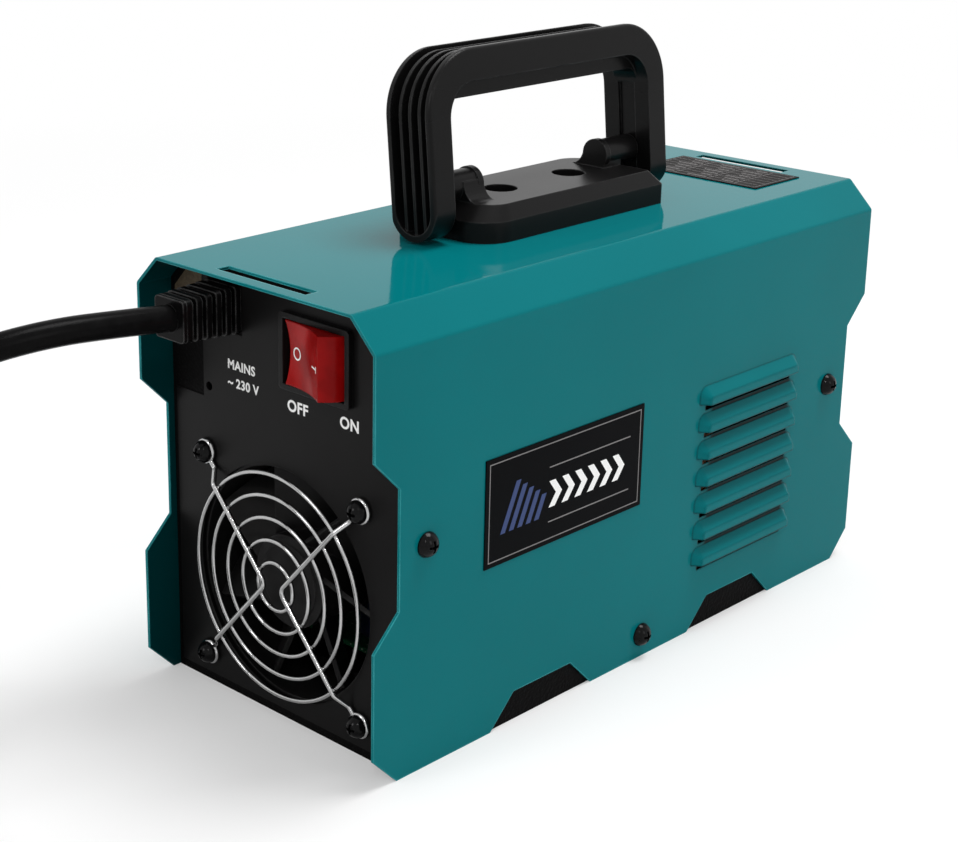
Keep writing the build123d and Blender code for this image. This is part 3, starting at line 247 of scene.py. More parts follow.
def enamel(name, colour):
    """Gloss enamel on sheet steel: a painted highlight along the edges, painted shade in the
    louvres' creases, a painted shadow under each hood and painted shade on the inside."""
    s = Shader(name)
    cloud = s.noise(9.0, 3.0)
    dust = s.noise(140.0, 5.0, rough=0.65)
    flat = s.blend(s.span(cloud, 0.0, 0.7, 0.35, 0.65), colour, darker(colour, 0.88))
    # painted shade: the faces turned towards the case's middle, darkened to 0.22 of the colour
    flat = s.blend(s.inward(CASE_MIDDLE), flat, darker(colour, 0.22))
    edges = s.edges(0.0007)
    # painted shade: a mask of the louvres' creases, darkened to 0.30 of the colour below
    louvre_crease_shade = s.edges(0.0010, 0.998, 0.955)
    louvres = s.times(s.band("Y", *LOUVRES_Y), s.band("Z", *LOUVRES_Z))
    slits = s.times(s.band("Y", *SLITS_Y, 0.002), s.band("Z", *SLITS_Z))
    # painted shadow: a dark band under each hood, repeated at the louvre pitch
    hood_shadow_bands = s.repeated_band("Z", HOOD_SHADOW_TOP, LOUVRE_PITCH, HOOD_SHADOW_WIDTH)
    hood_shadow = s.times(hood_shadow_bands, slits)
    # painted highlight: the sharp edges lightened to pale teal, in patches
    patchy_edge_highlight = s.times(edges, s.span(s.noise(55.0, 4.0), 0.35, 1.0, 0.35, 0.65))
    base = s.blend(s.times(louvre_crease_shade, louvres), s.blend(patchy_edge_highlight, flat, (0.075, 0.50, 0.53)),
                   darker(colour, 0.30))
    base = s.blend(hood_shadow, base, darker(colour, 0.06))
    normal = s.bump(s.noise(620.0, 1.0), 0.00003, s.soft_edges(0.0005), 0.5)
    return s.set(Base_Color=base, Roughness=s.span(dust, 0.04, 0.10, 0.3, 0.75),
                 Specular_IOR_Level=0.05, Normal=normal)


def powder_coat(name, colour):
    """Rough powder paint: close bumps with a few bare pin-pricks."""
    s = Shader(name)
    lumps = s.cells(900.0, "SMOOTH_F1")
    grain = s.noise(2300.0, 3.0)
    base = s.ramp(grain, [(0.3, darker(colour, 0.7)), (0.62, colour), (0.8, darker(colour, 2.2))])
    normal = s.bump(grain, 0.00006, s.bump(lumps, 0.00022, s.soft_edges(0.0004)))
    return s.set(Base_Color=base, Roughness=s.span(grain, 0.42, 0.62), Specular_IOR_Level=0.02,
                 Normal=normal)


def satin_film(name, colour, shine=0.09):
    """Screen-printed plastic film: very even, with fine dust and long soft waves."""
    s = Shader(name)
    dust = s.ramp(s.noise(1500.0, 4.0, rough=0.8),
                  [(0.0, colour), (0.70, colour), (0.78, darker(colour, 3.5))])
    wave = s.noise(45.0, 1.0)
    normal = s.bump(s.noise(2600.0, 1.0), 0.00001, s.bump(wave, 0.0004, strength=0.25))
    return s.set(Base_Color=dust, Roughness=s.span(s.noise(60.0, 3.0), 0.30, 0.42),
                 Specular_IOR_Level=shine, Normal=normal)


def moulded(name, colour, roughness=0.42, grain_size=1900.0, depth=0.00005, shine=0.12,
            edge_highlight=0.03):
    """Moulded plastic: spark-eroded grain, uneven gloss, flow marks and a painted highlight on the
    edges.
    """
    s = Shader(name)
    grain = s.noise(grain_size, 4.0, rough=0.6)
    flow = s.noise(22.0, 4.0, s.scaled((1.0, 0.35, 1.0)))
    flat = s.blend(s.span(flow, 0.0, 0.8, 0.3, 0.7), colour, darker(colour, 1.5))
    # painted highlight: the sharp edges lightened above the plastic's colour, in patches
    edge_highlight_mask = s.times(s.edges(0.0008), s.span(s.noise(80.0, 5.0, rough=0.7), 0.0, 0.8, 0.35, 0.7))
    base = s.blend(edge_highlight_mask, flat, tuple(edge_highlight + 1.6 * c for c in colour))
    normal = s.bump(grain, depth, s.soft_edges(0.0006))
    return s.set(Base_Color=base, Roughness=s.span(flow, roughness - 0.06, roughness + 0.10),
                 Specular_IOR_Level=shine, Normal=normal)


def rubber(name, colour):
    """Soft PVC and rubber: dull, with talc caught in its fine grain."""
    s = Shader(name)
    talc = s.noise(260.0, 6.0, rough=0.75)
    base = s.ramp(talc, [(0.35, colour), (0.62, darker(colour, 1.5)), (0.80, darker(colour, 2.6))])
    normal = s.bump(s.noise(1400.0, 3.0), 0.00004)
    return s.set(Base_Color=base, Roughness=s.span(talc, 0.17, 0.28), Specular_IOR_Level=0.025,
                 Normal=normal)


def lacquered_red(name):
    """The rocker's glassy red plastic, darker where it is thick."""
    s = Shader(name)
    depth = s.noise(120.0, 2.0)
    base = s.blend(s.span(depth, 0.0, 1.0, 0.35, 0.65), (0.34, 0.004, 0.004), (0.24, 0.002, 0.002))
    normal = s.bump(s.noise(900.0, 1.0), 0.00001, s.soft_edges(0.0007))
    return s.set(Base_Color=base, Roughness=s.span(depth, 0.14, 0.24), Specular_IOR_Level=0.07,
                 Normal=normal)


def metal(name, colour, roughness, streak=(1.0, 1.0, 1.0), depth=0.00001):
    """Bare or plated metal with drawn streaks and fingermarks."""
    s = Shader(name)
    streaks = s.noise(1200.0, 3.0, s.scaled(streak))
    marks = s.noise(90.0, 5.0, rough=0.7)
    base = s.blend(s.span(marks, 0.0, 1.0, 0.35, 0.75), colour, darker(colour, 0.80))
    normal = s.bump(streaks, depth, s.soft_edges(0.0003))
    return s.set(Base_Color=base, Metallic=1.0,
                 Roughness=s.span(streaks, roughness * 0.75, roughness * 1.35), Normal=normal)


def black_oxide(name):
    """Polished blackened screws with worn recess edges."""
    s = Shader(name)
    wear = s.noise(1100.0, 5.0, rough=0.7)
    base = s.ramp(wear, [(0.45, (0.003, 0.003, 0.0032)), (0.70, (0.006, 0.006, 0.0065)),
                         (0.84, (0.06, 0.06, 0.062))])
    normal = s.bump(wear, 0.00001, s.soft_edges(0.0003))
    return s.set(Base_Color=base, Roughness=s.span(wear, 0.08, 0.15), Specular_IOR_Level=0.10,
                 Normal=normal)


def ink(name, colour, roughness=0.45):
    """Screen-printed ink: edges solid, face very slightly broken by its mesh."""
    s = Shader(name)
    mesh = s.cells(4200.0)
    base = s.blend(s.span(mesh, 0.0, 0.5, 0.2, 0.7), colour, darker(colour, 0.82))
    return s.set(Base_Color=base, Roughness=roughness, Specular_IOR_Level=0.3,
                 Normal=s.bump(mesh, 0.00001))


def circuit_board(name):
    """Green solder mask over copper tracks and pads."""
    s = Shader(name)
    tracks = s.add("ShaderNodeTexBrick", offset=0.5)
    tracks.inputs["Scale"].default_value = 130.0
    tracks.inputs["Mortar Size"].default_value = 0.035
    tracks.inputs["Color1"].default_value = (0.0, 0.0, 0.0, 1.0)
    tracks.inputs["Color2"].default_value = (0.35, 0.35, 0.35, 1.0)
    tracks.inputs["Mortar"].default_value = (1.0, 1.0, 1.0, 1.0)
    s.link(s.place, tracks.inputs["Vector"])
    pads = s.ramp(s.cells(420.0), [(0.10, (0.62, 0.60, 0.55)), (0.16, (0.0, 0.0, 0.0))])
    mask = s.blend(tracks.outputs["Color"], (0.006, 0.075, 0.030), (0.012, 0.14, 0.055))
    mix = s.add("ShaderNodeMix", data_type="RGBA", blend_type="LIGHTEN")
    mix.inputs[MIX_FACTOR].default_value = 1.0
    s.link(mask, mix.inputs[MIX_A])
    s.link(pads, mix.inputs[MIX_B])
    return s.set(Base_Color=mix.outputs[MIX_RESULT], Roughness=0.32, Specular_IOR_Level=0.5,
                 Normal=s.bump(tracks.outputs["Color"], 0.00004))


def fibre_board(name, share=1.0):
    """Tan pressed fibre with flecks; a share below 1 darkens it as painted shade."""
    s = Shader(name)
    fleck = s.noise(700.0, 6.0, s.scaled((1.0, 0.25, 1.0)), 0.8)
    base = s.ramp(fleck, [(0.3, darker((0.20, 0.13, 0.065), share)),
                          (0.5, darker((0.36, 0.26, 0.14), share)),
                          (0.7, darker((0.50, 0.38, 0.22), share))])
    return s.set(Base_Color=base, Roughness=0.78, Normal=s.bump(fleck, 0.0001))


def windings(name, wire, tape, direction):
    """Close-wound enamelled wire under bands of tape."""
    s = Shader(name)
    turns = s.add("ShaderNodeTexWave", bands_direction=direction)
    turns.inputs["Scale"].default_value = 260.0
    turns.inputs["Distortion"].default_value = 0.6
    s.link(s.place, turns.inputs["Vector"])
    worn = s.noise(180.0, 4.0)
    base = s.blend(s.span(worn, 0.0, 1.0, 0.42, 0.6), wire, tape)
    return s.set(Base_Color=base, Metallic=0.25, Roughness=0.38,
                 Normal=s.bump(turns.outputs["Fac"], 0.0002))


def ferrite(name):
    """Sintered ferrite: dark grey, matt, with pits."""
    s = Shader(name)
    pits = s.cells(1500.0)
    base = s.ramp(pits, [(0.0, (0.012, 0.012, 0.013)), (0.4, (0.05, 0.05, 0.052))])
    return s.set(Base_Color=base, Roughness=0.62, Normal=s.bump(pits, 0.0001))


def dark_window(name):
    """The display's smoked red window."""
    s = Shader(name)
    smoke = s.noise(60.0, 2.0)
    base = s.blend(s.span(smoke, 0.0, 1.0), (0.020, 0.002, 0.002), (0.035, 0.003, 0.003))
    return s.set(Base_Color=base, Roughness=0.12, Specular_IOR_Level=0.2,
                 Normal=s.bump(s.noise(500.0, 1.0), 0.000004))


def lamp_lens(name):
    """Indicator lamps: green at one side of the display and amber at the other."""
    s = Shader(name)
    split = s.add("ShaderNodeSeparateXYZ")
    s.link(s.place, split.inputs[0])
    side = s.span(split.outputs["X"], 0.0, 1.0, -0.001, 0.001)
    haze = s.noise(300.0, 2.0)
    green = s.blend(haze, (0.03, 0.35, 0.06), (0.02, 0.22, 0.04))
    amber = s.blend(haze, (0.65, 0.28, 0.02), (0.45, 0.18, 0.01))
    return s.set(Base_Color=s.blend(side, green, amber), Roughness=0.18,
                 Transmission_Weight=0.25, Coat_Weight=0.4, Coat_Roughness=0.05)


def make_finishes():
    return {
        "enamel": enamel("teal_enamel", TEAL),
        "powder": powder_coat("black_powder_coat", BLACK),
        "film": satin_film("printed_film", darker(BLACK, 1.15)),
        "plate": satin_film("label_plate", (0.0024, 0.0026, 0.0032), 0.02),
        "rating": satin_film("rating_plate", (0.0060, 0.0048, 0.0046), 0.015),
        # the handle and the relief take stronger painted highlights on their edges
        "handle": moulded("handle_plastic", darker(BLACK, 0.9), 0.26, depth=0.00002, edge_highlight=0.06),
        "relief": moulded("relief_rubber", darker(BLACK, 0.6), 0.24, 1400.0, 0.00002, 0.06, 0.16),
        "plastic": moulded("black_plastic", BLACK, 0.36, 2600.0, 0.00003),
        "fan": moulded("fan_plastic", darker(BLACK, 1.3), 0.38, 1500.0, 0.00003),
        "red": lacquered_red("rocker_red"),
        "rubber": rubber("lead_rubber", (0.0036, 0.0035, 0.0036)),
        "chrome": metal("chrome_wire", (0.50, 0.50, 0.50), 0.12, depth=0.000004),
        "zinc": metal("zinc_plate", (0.62, 0.61, 0.57), 0.30, (1.0, 0.2, 1.0)),
        "nickel": metal("nickel_plate", (0.66, 0.64, 0.58), 0.22, (1.0, 1.0, 0.2)),
        "brass": metal("plain_brass", (0.72, 0.53, 0.25), 0.26, (1.0, 0.15, 1.0)),
        "copper": metal("bare_copper", (0.72, 0.38, 0.24), 0.32, (1.0, 1.0, 0.2)),
        "aluminium": metal("extruded_aluminium", (0.70, 0.71, 0.72), 0.36, (1.0, 0.08, 1.0)),
        "oxide": black_oxide("black_oxide"),
        "board": circuit_board("circuit_board"),
        "epoxy": moulded("black_epoxy", (0.016, 0.016, 0.017), 0.55, 2400.0, 0.00006),
        "can": moulded("capacitor_sleeve", (0.012, 0.016, 0.040), 0.30, 1500.0, 0.00002),
        "fibre": fibre_board("pressed_fibre"),
        # painted shade: a copy of the fibre darkened to 0.22, for the flap in shade under the cover
        "shaded_fibre": fibre_board("fibre_in_shade", 0.22),
        "winding": windings("transformer_winding_tape", (0.42, 0.15, 0.05), (0.55, 0.36, 0.05),
                            "Z"),
        "choke": windings("choke_winding", (0.45, 0.16, 0.06), (0.62, 0.27, 0.11), "X"),
        "ferrite": ferrite("ferrite"),
        "window": dark_window("smoked_window"),
        "lamps": lamp_lens("lamp_lenses"),
        "white_ink": ink("white_ink", PRINT_WHITE),
        "blue_ink": ink("blue_ink", (0.020, 0.045, 0.16)),
        "grey_ink": ink("grey_ink", (0.20, 0.19, 0.19)),
        "red_ink": ink("red_ink", (0.45, 0.02, 0.02)),
        "digits": ink("display_digits", (0.85, 0.05, 0.03), 0.3),
    }


NODE_FINISH = {
    "enamel": ["cover"],
    "powder": ["chassis_tray", "mains_end_panel", "output_end_panel"],
    "film": ["mains_panel_film", "output_panel_film"],
    "plate": ["nameplate_right", "nameplate_left"],
    "rating": ["rating_plate"],
    "handle": ["handle_base", "handle_grip"],
    "plastic": ["switch_body", "socket_flanges", "socket_nuts", "current_knob"],
    "fan": ["fan_frame", "fan_rotor"],
    "red": ["switch_rocker"],
    "relief": ["strain_relief"],
    "rubber": ["plug_body", "mains_cord", "cord_coil", "cord_tail"],
    "chrome": ["fan_guard"],
    "zinc": ["clinch_nuts", "hinge_pins", "handle_screws", "handle_plate", "fan_nuts", "knob_shaft",
             "potentiometer", "board_screws", "busbar_nuts"],
    "nickel": ["plug_pins", "board_standoffs"],
    "brass": ["switch_tabs", "socket_contacts"],
    "copper": ["output_busbars"],
    "aluminium": ["heatsink_right", "heatsink_left"],
    "oxide": ["cover_screws", "guard_screws"],
    "board": ["main_board", "control_board", "display_board"],
    "epoxy": ["power_transistors", "bridge_rectifier", "inrush_relay", "control_parts",
              "display_module"],
    "can": ["bus_capacitors"],
    "fibre": ["insulation_sheet"],
    "winding": ["transformer_winding"],
    "choke": ["output_choke"],
    "ferrite": ["transformer_core"],
    "window": ["display_window"],
    "lamps": ["indicator_lamps"],
}


def finish_nodes(finishes):
    for finish, names in NODE_FINISH.items():
        for name in names:
            mesh = frame["nodes"][name].data
            mesh.materials.clear()
            mesh.materials.append(finishes[finish])


# ---------------------------------------------------------------- pieces
def piece(name, data, finish, body="case", turn=None):
    """A new object on a body, with one finish."""
    data.materials.clear()
    data.materials.append(finish)
    thing = bpy.data.objects.new(name, data)
    scene.collection.objects.link(thing)
    if turn is not None:
        thing.matrix_world = turn
    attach(thing, body)
    return thing


def faces_piece(name, vertices, faces, finish, body="case"):
    data = bpy.data.meshes.new(name)
    data.from_pydata(vertices, [], faces)
    data.update()
    return piece(name, data, finish, body)


class Face:
    """A flat place for print: its origin, its reading direction, its up and its outside."""

    def __init__(self, origin, across, up):
        self.origin, self.across, self.up = Vector(origin), Vector(across), Vector(up)
        self.out = self.across.cross(self.up)

    def at(self, x, y, height=0.0):
        return self.origin + self.across * x + self.up * y + self.out * height

    def matrix(self, x, y):
        turn = Matrix((self.across, self.up, self.out)).transposed().to_4x4()
        return Matrix.Translation(self.at(x, y)) @ turn


INK_HEIGHT = 0.05 * MM


def print_shapes(name, face, outlines, finish, body="case", height=INK_HEIGHT):
    """Flat raised shapes, each a closed outline of (x, y) points on a face."""
    vertices, faces = [], []
    for outline in outlines:
        first, count = len(vertices), len(outline)
        vertices += [face.at(x, y, 0.0) for x, y in outline]
        vertices += [face.at(x, y, height) for x, y in outline]
        faces.append([first + count + i for i in range(count)])
        faces.append([first + i for i in reversed(range(count))])
        for i in range(count):
            j = (i + 1) % count
            faces.append([first + i, first + j, first + count + j, first + count + i])
    return faces_piece(name, vertices, faces, finish, body)


def bar(x0, y0, x1, y1):
    return [(x0, y0), (x1, y0), (x1, y1), (x0, y1)]


def stroke(x0, y0, x1, y1, width):
    """A straight line with square ends."""
    length = math.hypot(x1 - x0, y1 - y0)
    dx, dy = -(y1 - y0) / length * width / 2, (x1 - x0) / length * width / 2
    return [(x0 - dx, y0 - dy), (x1 - dx, y1 - dy), (x1 + dx, y1 + dy), (x0 + dx, y0 + dy)]


def ring_strokes(x, y, radius, width, start=0.0, end=360.0, steps=36):
    """An arc as a chain of short quadrilaterals."""
    quads = []
    for i in range(steps):
        a = math.radians(start + (end - start) * i / steps)
        b = math.radians(start + (end - start) * (i + 1) / steps)
        inner, outer = radius - width / 2, radius + width / 2
        quads.append([
            (x + inner * math.cos(a), y + inner * math.sin(a)),
            (x + outer * math.cos(a), y + outer * math.sin(a)),
            (x + outer * math.cos(b), y + outer * math.sin(b)),
            (x + inner * math.cos(b), y + inner * math.sin(b)),
        ][::1 if end > start else -1])
    return quads


def lettering(name, words, face, x, y, cap_height, finish, weight=0.028, body="case"):
    """Printed words, centred on a point of a face, with capitals of a given height."""
    curve = bpy.data.curves.new(name, "FONT")
    curve.body = words
    curve.align_x, curve.align_y = "CENTER", "CENTER"
    curve.size = cap_height / 0.70
    curve.offset = weight * curve.size
    curve.extrude = INK_HEIGHT / 2
    curve.resolution_u = 4
    curve.space_character = 1.06
    holder = bpy.data.objects.new(name + "_curve", curve)
    scene.collection.objects.link(holder)
    bpy.context.view_layer.update()
    data = bpy.data.meshes.new_from_object(holder.evaluated_get(
        bpy.context.evaluated_depsgraph_get()))
    bpy.data.objects.remove(holder)
    data.name = name
    turn = face.matrix(x, y) @ Matrix.Translation((0, 0, INK_HEIGHT / 2))
    return piece(name, data, finish, body, turn)


# ---------------------------------------------------------------- print on the mains end
def mains_print(finishes):
    """The switch's two places and the supply's caption."""
    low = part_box("mains_panel_film")[0]
    face = Face((0, low.y, 0), (1, 0, 0), (0, 0, 1))
    white = finishes["white_ink"]
    lettering("print_off", "OFF", face, 7.6 * MM, 107.7 * MM, 3.6 * MM, white)
    lettering("print_on", "ON", face, 30.4 * MM, 108.2 * MM, 3.6 * MM, white)
    lettering("print_supply", "MAINS", face, -18.5 * MM, 114.6 * MM, 3.0 * MM, white)
    lettering("print_volts", "~ 230 V", face, -17.7 * MM, 108.7 * MM, 3.0 * MM, white)


def fibre_flap(finishes):
    """The end of the fibre lining, folded down over the panel's corner beside the lead."""
    face = Face((0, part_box("mains_end_panel")[0].y, 0), (1, 0, 0), (0, 0, 1))
    outline = [(-51.0, 131.5), (-37.2, 131.5), (-37.2, 142.5), (-44.9, 141.6), (-50.6, 135.4)]
    # painted shade: the flap takes the darkened copy of the fibre
    print_shapes("fibre_flap", face, [[(x * MM, z * MM) for x, z in outline]],
                 finishes["shaded_fibre"], height=0.3 * MM)


def slit_shading_cables(finishes):
    """Two flat cables, from the display board down behind the output panel's vents; they also
    stand as a dark screen of painted shade for what shows through the louvre slits.
    """
    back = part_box("display_board")[0].y
    foot, plug_foot, plug_top = 52.0 * MM, 111.0 * MM, 117.0 * MM
    plug = (back - 2.6 * MM, back, plug_foot, plug_top)
    drop = (back - 2.0 * MM, back - 1.0 * MM, foot, plug_foot)
    turned_in = (back - 10.0 * MM, back - 2.0 * MM, foot, 53.0 * MM)
    vertices, faces = [], []
    for side in (-1, 1):
        near, far = sorted((side * 27.0 * MM, side * 38.0 * MM))
        for y0, y1, z0, z1 in (plug, drop, turned_in):
            first = len(vertices)
            vertices += [(x, y, z) for x in (near, far) for y in (y0, y1) for z in (z0, z1)]
            faces += [[first + i for i in face] for face in (
                (0, 1, 3, 2), (4, 6, 7, 5), (0, 4, 5, 1), (2, 3, 7, 6), (0, 2, 6, 4),
                (1, 5, 7, 3))]
    faces_piece("slit_shading_cables", vertices, faces, finishes["rubber"])


ROCKER_REST = math.radians(-14.0)      # the rocker's tilt in OFF, about its upright axis


def rocker_marks(finishes):
    """The O and I of the rocker, laid on its dished face."""
    axis = next(j for j in frame["joints"] if j["name"] == "rocker_tilt")["pos_m"]
    across = Vector((math.cos(ROCKER_REST), math.sin(ROCKER_REST), 0))
    out = across.cross(Vector((0, 0, 1)))
    rocker = frame["nodes"]["switch_rocker"].data
    surface = BVHTree.FromPolygons([v.co for v in rocker.vertices],
                                   [p.vertices for p in rocker.polygons])
    start = 20.0 * MM
    vertices, faces = [], []

    def patch(corners):
        first = len(vertices)
        for x, z in corners:
            above = Vector(axis) + across * x + Vector((0, 0, z)) + out * start
            hit = surface.ray_cast(above, -out)[0]
            vertices.append(hit + out * INK_HEIGHT)
        faces.append(list(range(first, first + len(corners))))

    for quad in ring_strokes(-6.2 * MM, 0.1 * MM, 1.8 * MM, 0.5 * MM):
        patch(quad)
    for step in range(6):
        x0, x1 = (3.7 + 0.6 * step) * MM, (4.3 + 0.6 * step) * MM
        patch(bar(x0, -1.2 * MM, x1, -0.7 * MM))
    patch(bar(7.3 * MM, -2.0 * MM, 7.8 * MM, 0.1 * MM))
    data = bpy.data.meshes.new("rocker_marks")
    data.from_pydata(vertices, [], faces)
    marks = piece("rocker_marks", data, finishes["white_ink"], "rocker")
    thick = marks.modifiers.new("thickness", "SOLIDIFY")
    thick.thickness = 2 * INK_HEIGHT
    thick.offset = -1.0


# ---------------------------------------------------------------- labels
def chevron(x, height, reach, width):
    """An arrowhead band that points to +x."""
    half = height / 2
    return [
        [(x, -half), (x + width, -half), (x + width + reach, 0), (x + reach, 0)],
        [(x + reach, 0), (x + width + reach, 0), (x + width, half), (x, half)],
    ]


def nameplate_print(side, finishes):
    """A border, a row of arrowheads and some slanted stripes; the same on both sides."""
    low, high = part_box("nameplate_right" if side > 0 else "nameplate_left")
    middle = (low + high) / 2
    face_x = high.x if side > 0 else low.x
    face = Face((face_x, middle.y, middle.z), (0, side, 0), (0, 0, 1))
    half_w, half_h = (high.y - low.y) / 2, (high.z - low.z) / 2
    tag = "right" if side > 0 else "left"
    inset, line = 1.6 * MM, 0.35 * MM
    w, h = half_w - inset, half_h - inset
    border = [bar(-w, -h, w, -h + line), bar(-w, h - line, w, h),
              bar(-w, -h + line, -w + line, h - line), bar(w - line, -h + line, w, h - line)]
    print_shapes(f"plate_border_{tag}", face, border, finishes["grey_ink"])
    arrows = []
    for index in range(6):
        shapes = chevron((-9.0 + 6.4 * index) * MM, 9.0 * MM, 3.4 * MM, 3.0 * MM)
        arrows += [[(x, y - 1.0 * MM) for x, y in shape] for shape in shapes]
    print_shapes(f"plate_arrows_{tag}", face, arrows, finishes["white_ink"])
    stripes = []
    for index in range(5):
        x = (-32.0 + 4.0 * index) * MM
        length = (16.0 - 2.0 * index) * MM
        stripes.append([(x, -8.0 * MM), (x + 2.2 * MM, -8.0 * MM),
                        (x + 2.2 * MM + length * 0.45, -8.0 * MM + length),
                        (x + length * 0.45, -8.0 * MM + length)])
    print_shapes(f"plate_stripes_{tag}", face, stripes, finishes["blue_ink"])
    rule = [bar(-9.0 * MM, -10.6 * MM, 32.0 * MM, -10.2 * MM)]
    rule.append(bar(-9.0 * MM, 8.0 * MM, 32.0 * MM, 8.4 * MM))
    print_shapes(f"plate_rules_{tag}", face, rule, finishes["grey_ink"])


def rating_print(finishes):
    """Ruled rows and columns with plain bars in them, and no words."""
    low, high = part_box("rating_plate")
    middle = (low + high) / 2
    face = Face((middle.x, middle.y, high.z), (-1, 0, 0), (0, -1, 0))
    half_w, half_h = (high.x - low.x) / 2, (high.y - low.y) / 2
    inset, line = 1.3 * MM, 0.22 * MM
    w, h = half_w - inset, half_h - inset
    rows = 7
    shapes = []
    for index in range(rows + 1):
        y = -h + 2 * h * index / rows
        shapes.append(bar(-w, y - line / 2, w, y + line / 2))
    for share in (0.0, 0.18, 0.42, 0.71, 1.0):
        x = -w + 2 * w * share
        shapes.append(bar(x - line / 2, -h, x + line / 2, h))
    print_shapes("rating_rules", face, shapes, finishes["grey_ink"])
    cells = []
    for row in range(rows):
        y = -h + 2 * h * (row + 0.5) / rows
        for column, start in enumerate((0.18, 0.42, 0.71)):
            length = (0.10, 0.17, 0.13)[(row + column) % 3]
            x = -w + 2 * w * (start + 0.03)
            cells.append(bar(x, y - 0.30 * MM, x + 2 * w * length, y + 0.30 * MM))
    print_shapes("rating_bars", face, cells, finishes["grey_ink"])


# ---------------------------------------------------------------- print on the output end
SEGMENTS = {"1": "bc", "2": "abged", "0": "abcdef"}


def digit_strokes(character, x, y, size):
    """A seven-segment figure of a given height, its lower left corner at (x, y)."""
    width, lean, thick = size * 0.52, 0.10, size * 0.11

    def point(a, b):
        return x + a * width + lean * b * size, y + b * size

    ends = {"a": ((0, 1), (1, 1)), "b": ((1, 1), (1, 0.5)), "c": ((1, 0.5), (1, 0)),
            "d": ((0, 0), (1, 0)), "e": ((0, 0.5), (0, 0)), "f": ((0, 1), (0, 0.5)),
            "g": ((0, 0.5), (1, 0.5))}
    strokes = []
    for segment in SEGMENTS[character]:
        start, end = [Vector(point(*place)) for place in ends[segment]]
        gap = (end - start).normalized() * thick * 0.6
        start, end = start + gap, end - gap
        strokes.append(stroke(start.x, start.y, end.x, end.y, thick))
    return strokes


def output_print(finishes):
    """The dial's scale, the sockets' signs, the display's figures and the frame round it."""
    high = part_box("output_panel_film")[1]
    face = Face((0, high.y, 0), (-1, 0, 0), (0, 0, 1))
    knob_low, knob_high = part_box("current_knob")
    knob_z, knob_r = (knob_low.z + knob_high.z) / 2, (knob_high.x - knob_low.x) / 2
    white = finishes["white_ink"]
    ticks = []
    for index in range(19):
        turn = math.radians(225.0 - 15.0 * index)
        long = index % 3 == 0
        reach = knob_r + (3.4 if long else 2.4) * MM
        start = knob_r + 1.0 * MM
        ticks.append(stroke(start * math.cos(turn), knob_z + start * math.sin(turn),
                            reach * math.cos(turn), knob_z + reach * math.sin(turn),
                            (0.5 if long else 0.3) * MM))
    print_shapes("scale_ticks", face, ticks, white)
    for index, number in enumerate(("20", "50", "80", "110", "140", "170", "200")):
        turn = math.radians(225.0 - 45.0 * index)
        reach = knob_r + 6.6 * MM
        lettering(f"scale_{number}", number, face, reach * math.cos(turn),
                  knob_z + reach * math.sin(turn), 2.3 * MM, white)
    lettering("scale_unit", "A", face, 0.0, knob_z - knob_r - 4.0 * MM, 3.0 * MM, white)
    sockets_low, sockets_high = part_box("socket_flanges")
    panel = Face((0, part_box("output_end_panel")[1].y, 0), (-1, 0, 0), (0, 0, 1))
    radius = (sockets_high.z - sockets_low.z) / 2
    z = (sockets_high.z + sockets_low.z) / 2
    x = sockets_high.x - radius
    mark_z, arm, width = z - radius - 4.2 * MM, 2.4 * MM, 1.0 * MM
    plus = [stroke(x - arm, mark_z, x + arm, mark_z, width),
            stroke(x, mark_z - arm, x, mark_z - width / 2, width),
            stroke(x, mark_z + width / 2, x, mark_z + arm, width)]
    print_shapes("socket_plus", panel, plus, finishes["red_ink"])
    print_shapes("socket_minus", panel, [stroke(-x - arm, mark_z, -x + arm, mark_z, width)], white)
    window_low, window_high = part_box("display_window")
    window = Face((0, window_high.y, 0), (-1, 0, 0), (0, 0, 1))
    size = 9.0 * MM
    left = -11.5 * MM
    base = (window_low.z + window_high.z) / 2 - size / 2
    strokes = []
    for index, character in enumerate("120"):
        strokes += digit_strokes(character, left + index * 8.2 * MM, base, size)
    print_shapes("display_figures", window, strokes, finishes["digits"])
    frame_line = 0.4 * MM
    half = (window_high.x - window_low.x) / 2 + 2.0 * MM
    bottom, top = window_low.z - 2.0 * MM, window_high.z + 2.0 * MM
    outline = [bar(-half, bottom, half, bottom + frame_line),
               bar(-half, top - frame_line, half, top),
               bar(-half, bottom + frame_line, -half + frame_line, top - frame_line),
               bar(half - frame_line, bottom + frame_line, half, top - frame_line)]
    print_shapes("window_outline", face, outline, finishes["grey_ink"])


# ---------------------------------------------------------------- the mains lead
LEAD_DIAMETER = 8.5 * MM
LEAD_ROUTE = [
    (-0.0260, -0.1365, 0.1335),
    (-0.0266, -0.1560, 0.1356),
    (-0.0296, -0.1820, 0.1372),
    (-0.0365, -0.2070, 0.1336),
    (-0.0470, -0.2290, 0.1215),
    (-0.0574, -0.2453, 0.1025),
    (-0.0662, -0.2576, 0.0805),
    (-0.0736, -0.2685, 0.0585),
    (-0.0790, -0.2818, 0.0395),
    (-0.0807, -0.2976, 0.0264),
    (-0.0775, -0.3156, 0.0166),
]
COIL_CENTRE = Vector((-0.017, -0.302, 0.0))
COIL_RADIUS = 48.0 * MM
LAYER_TURNS = 2.5
COIL_START = 212.0           # degrees; where the lead lands on its coil
COIL_END = 65.0              # where it leaves for the plug
POINTS_PER_TURN = 20


def on_circle(radius, degrees, height):
    angle = math.radians(degrees)
    return COIL_CENTRE + Vector((radius * math.cos(angle), radius * math.sin(angle), height))


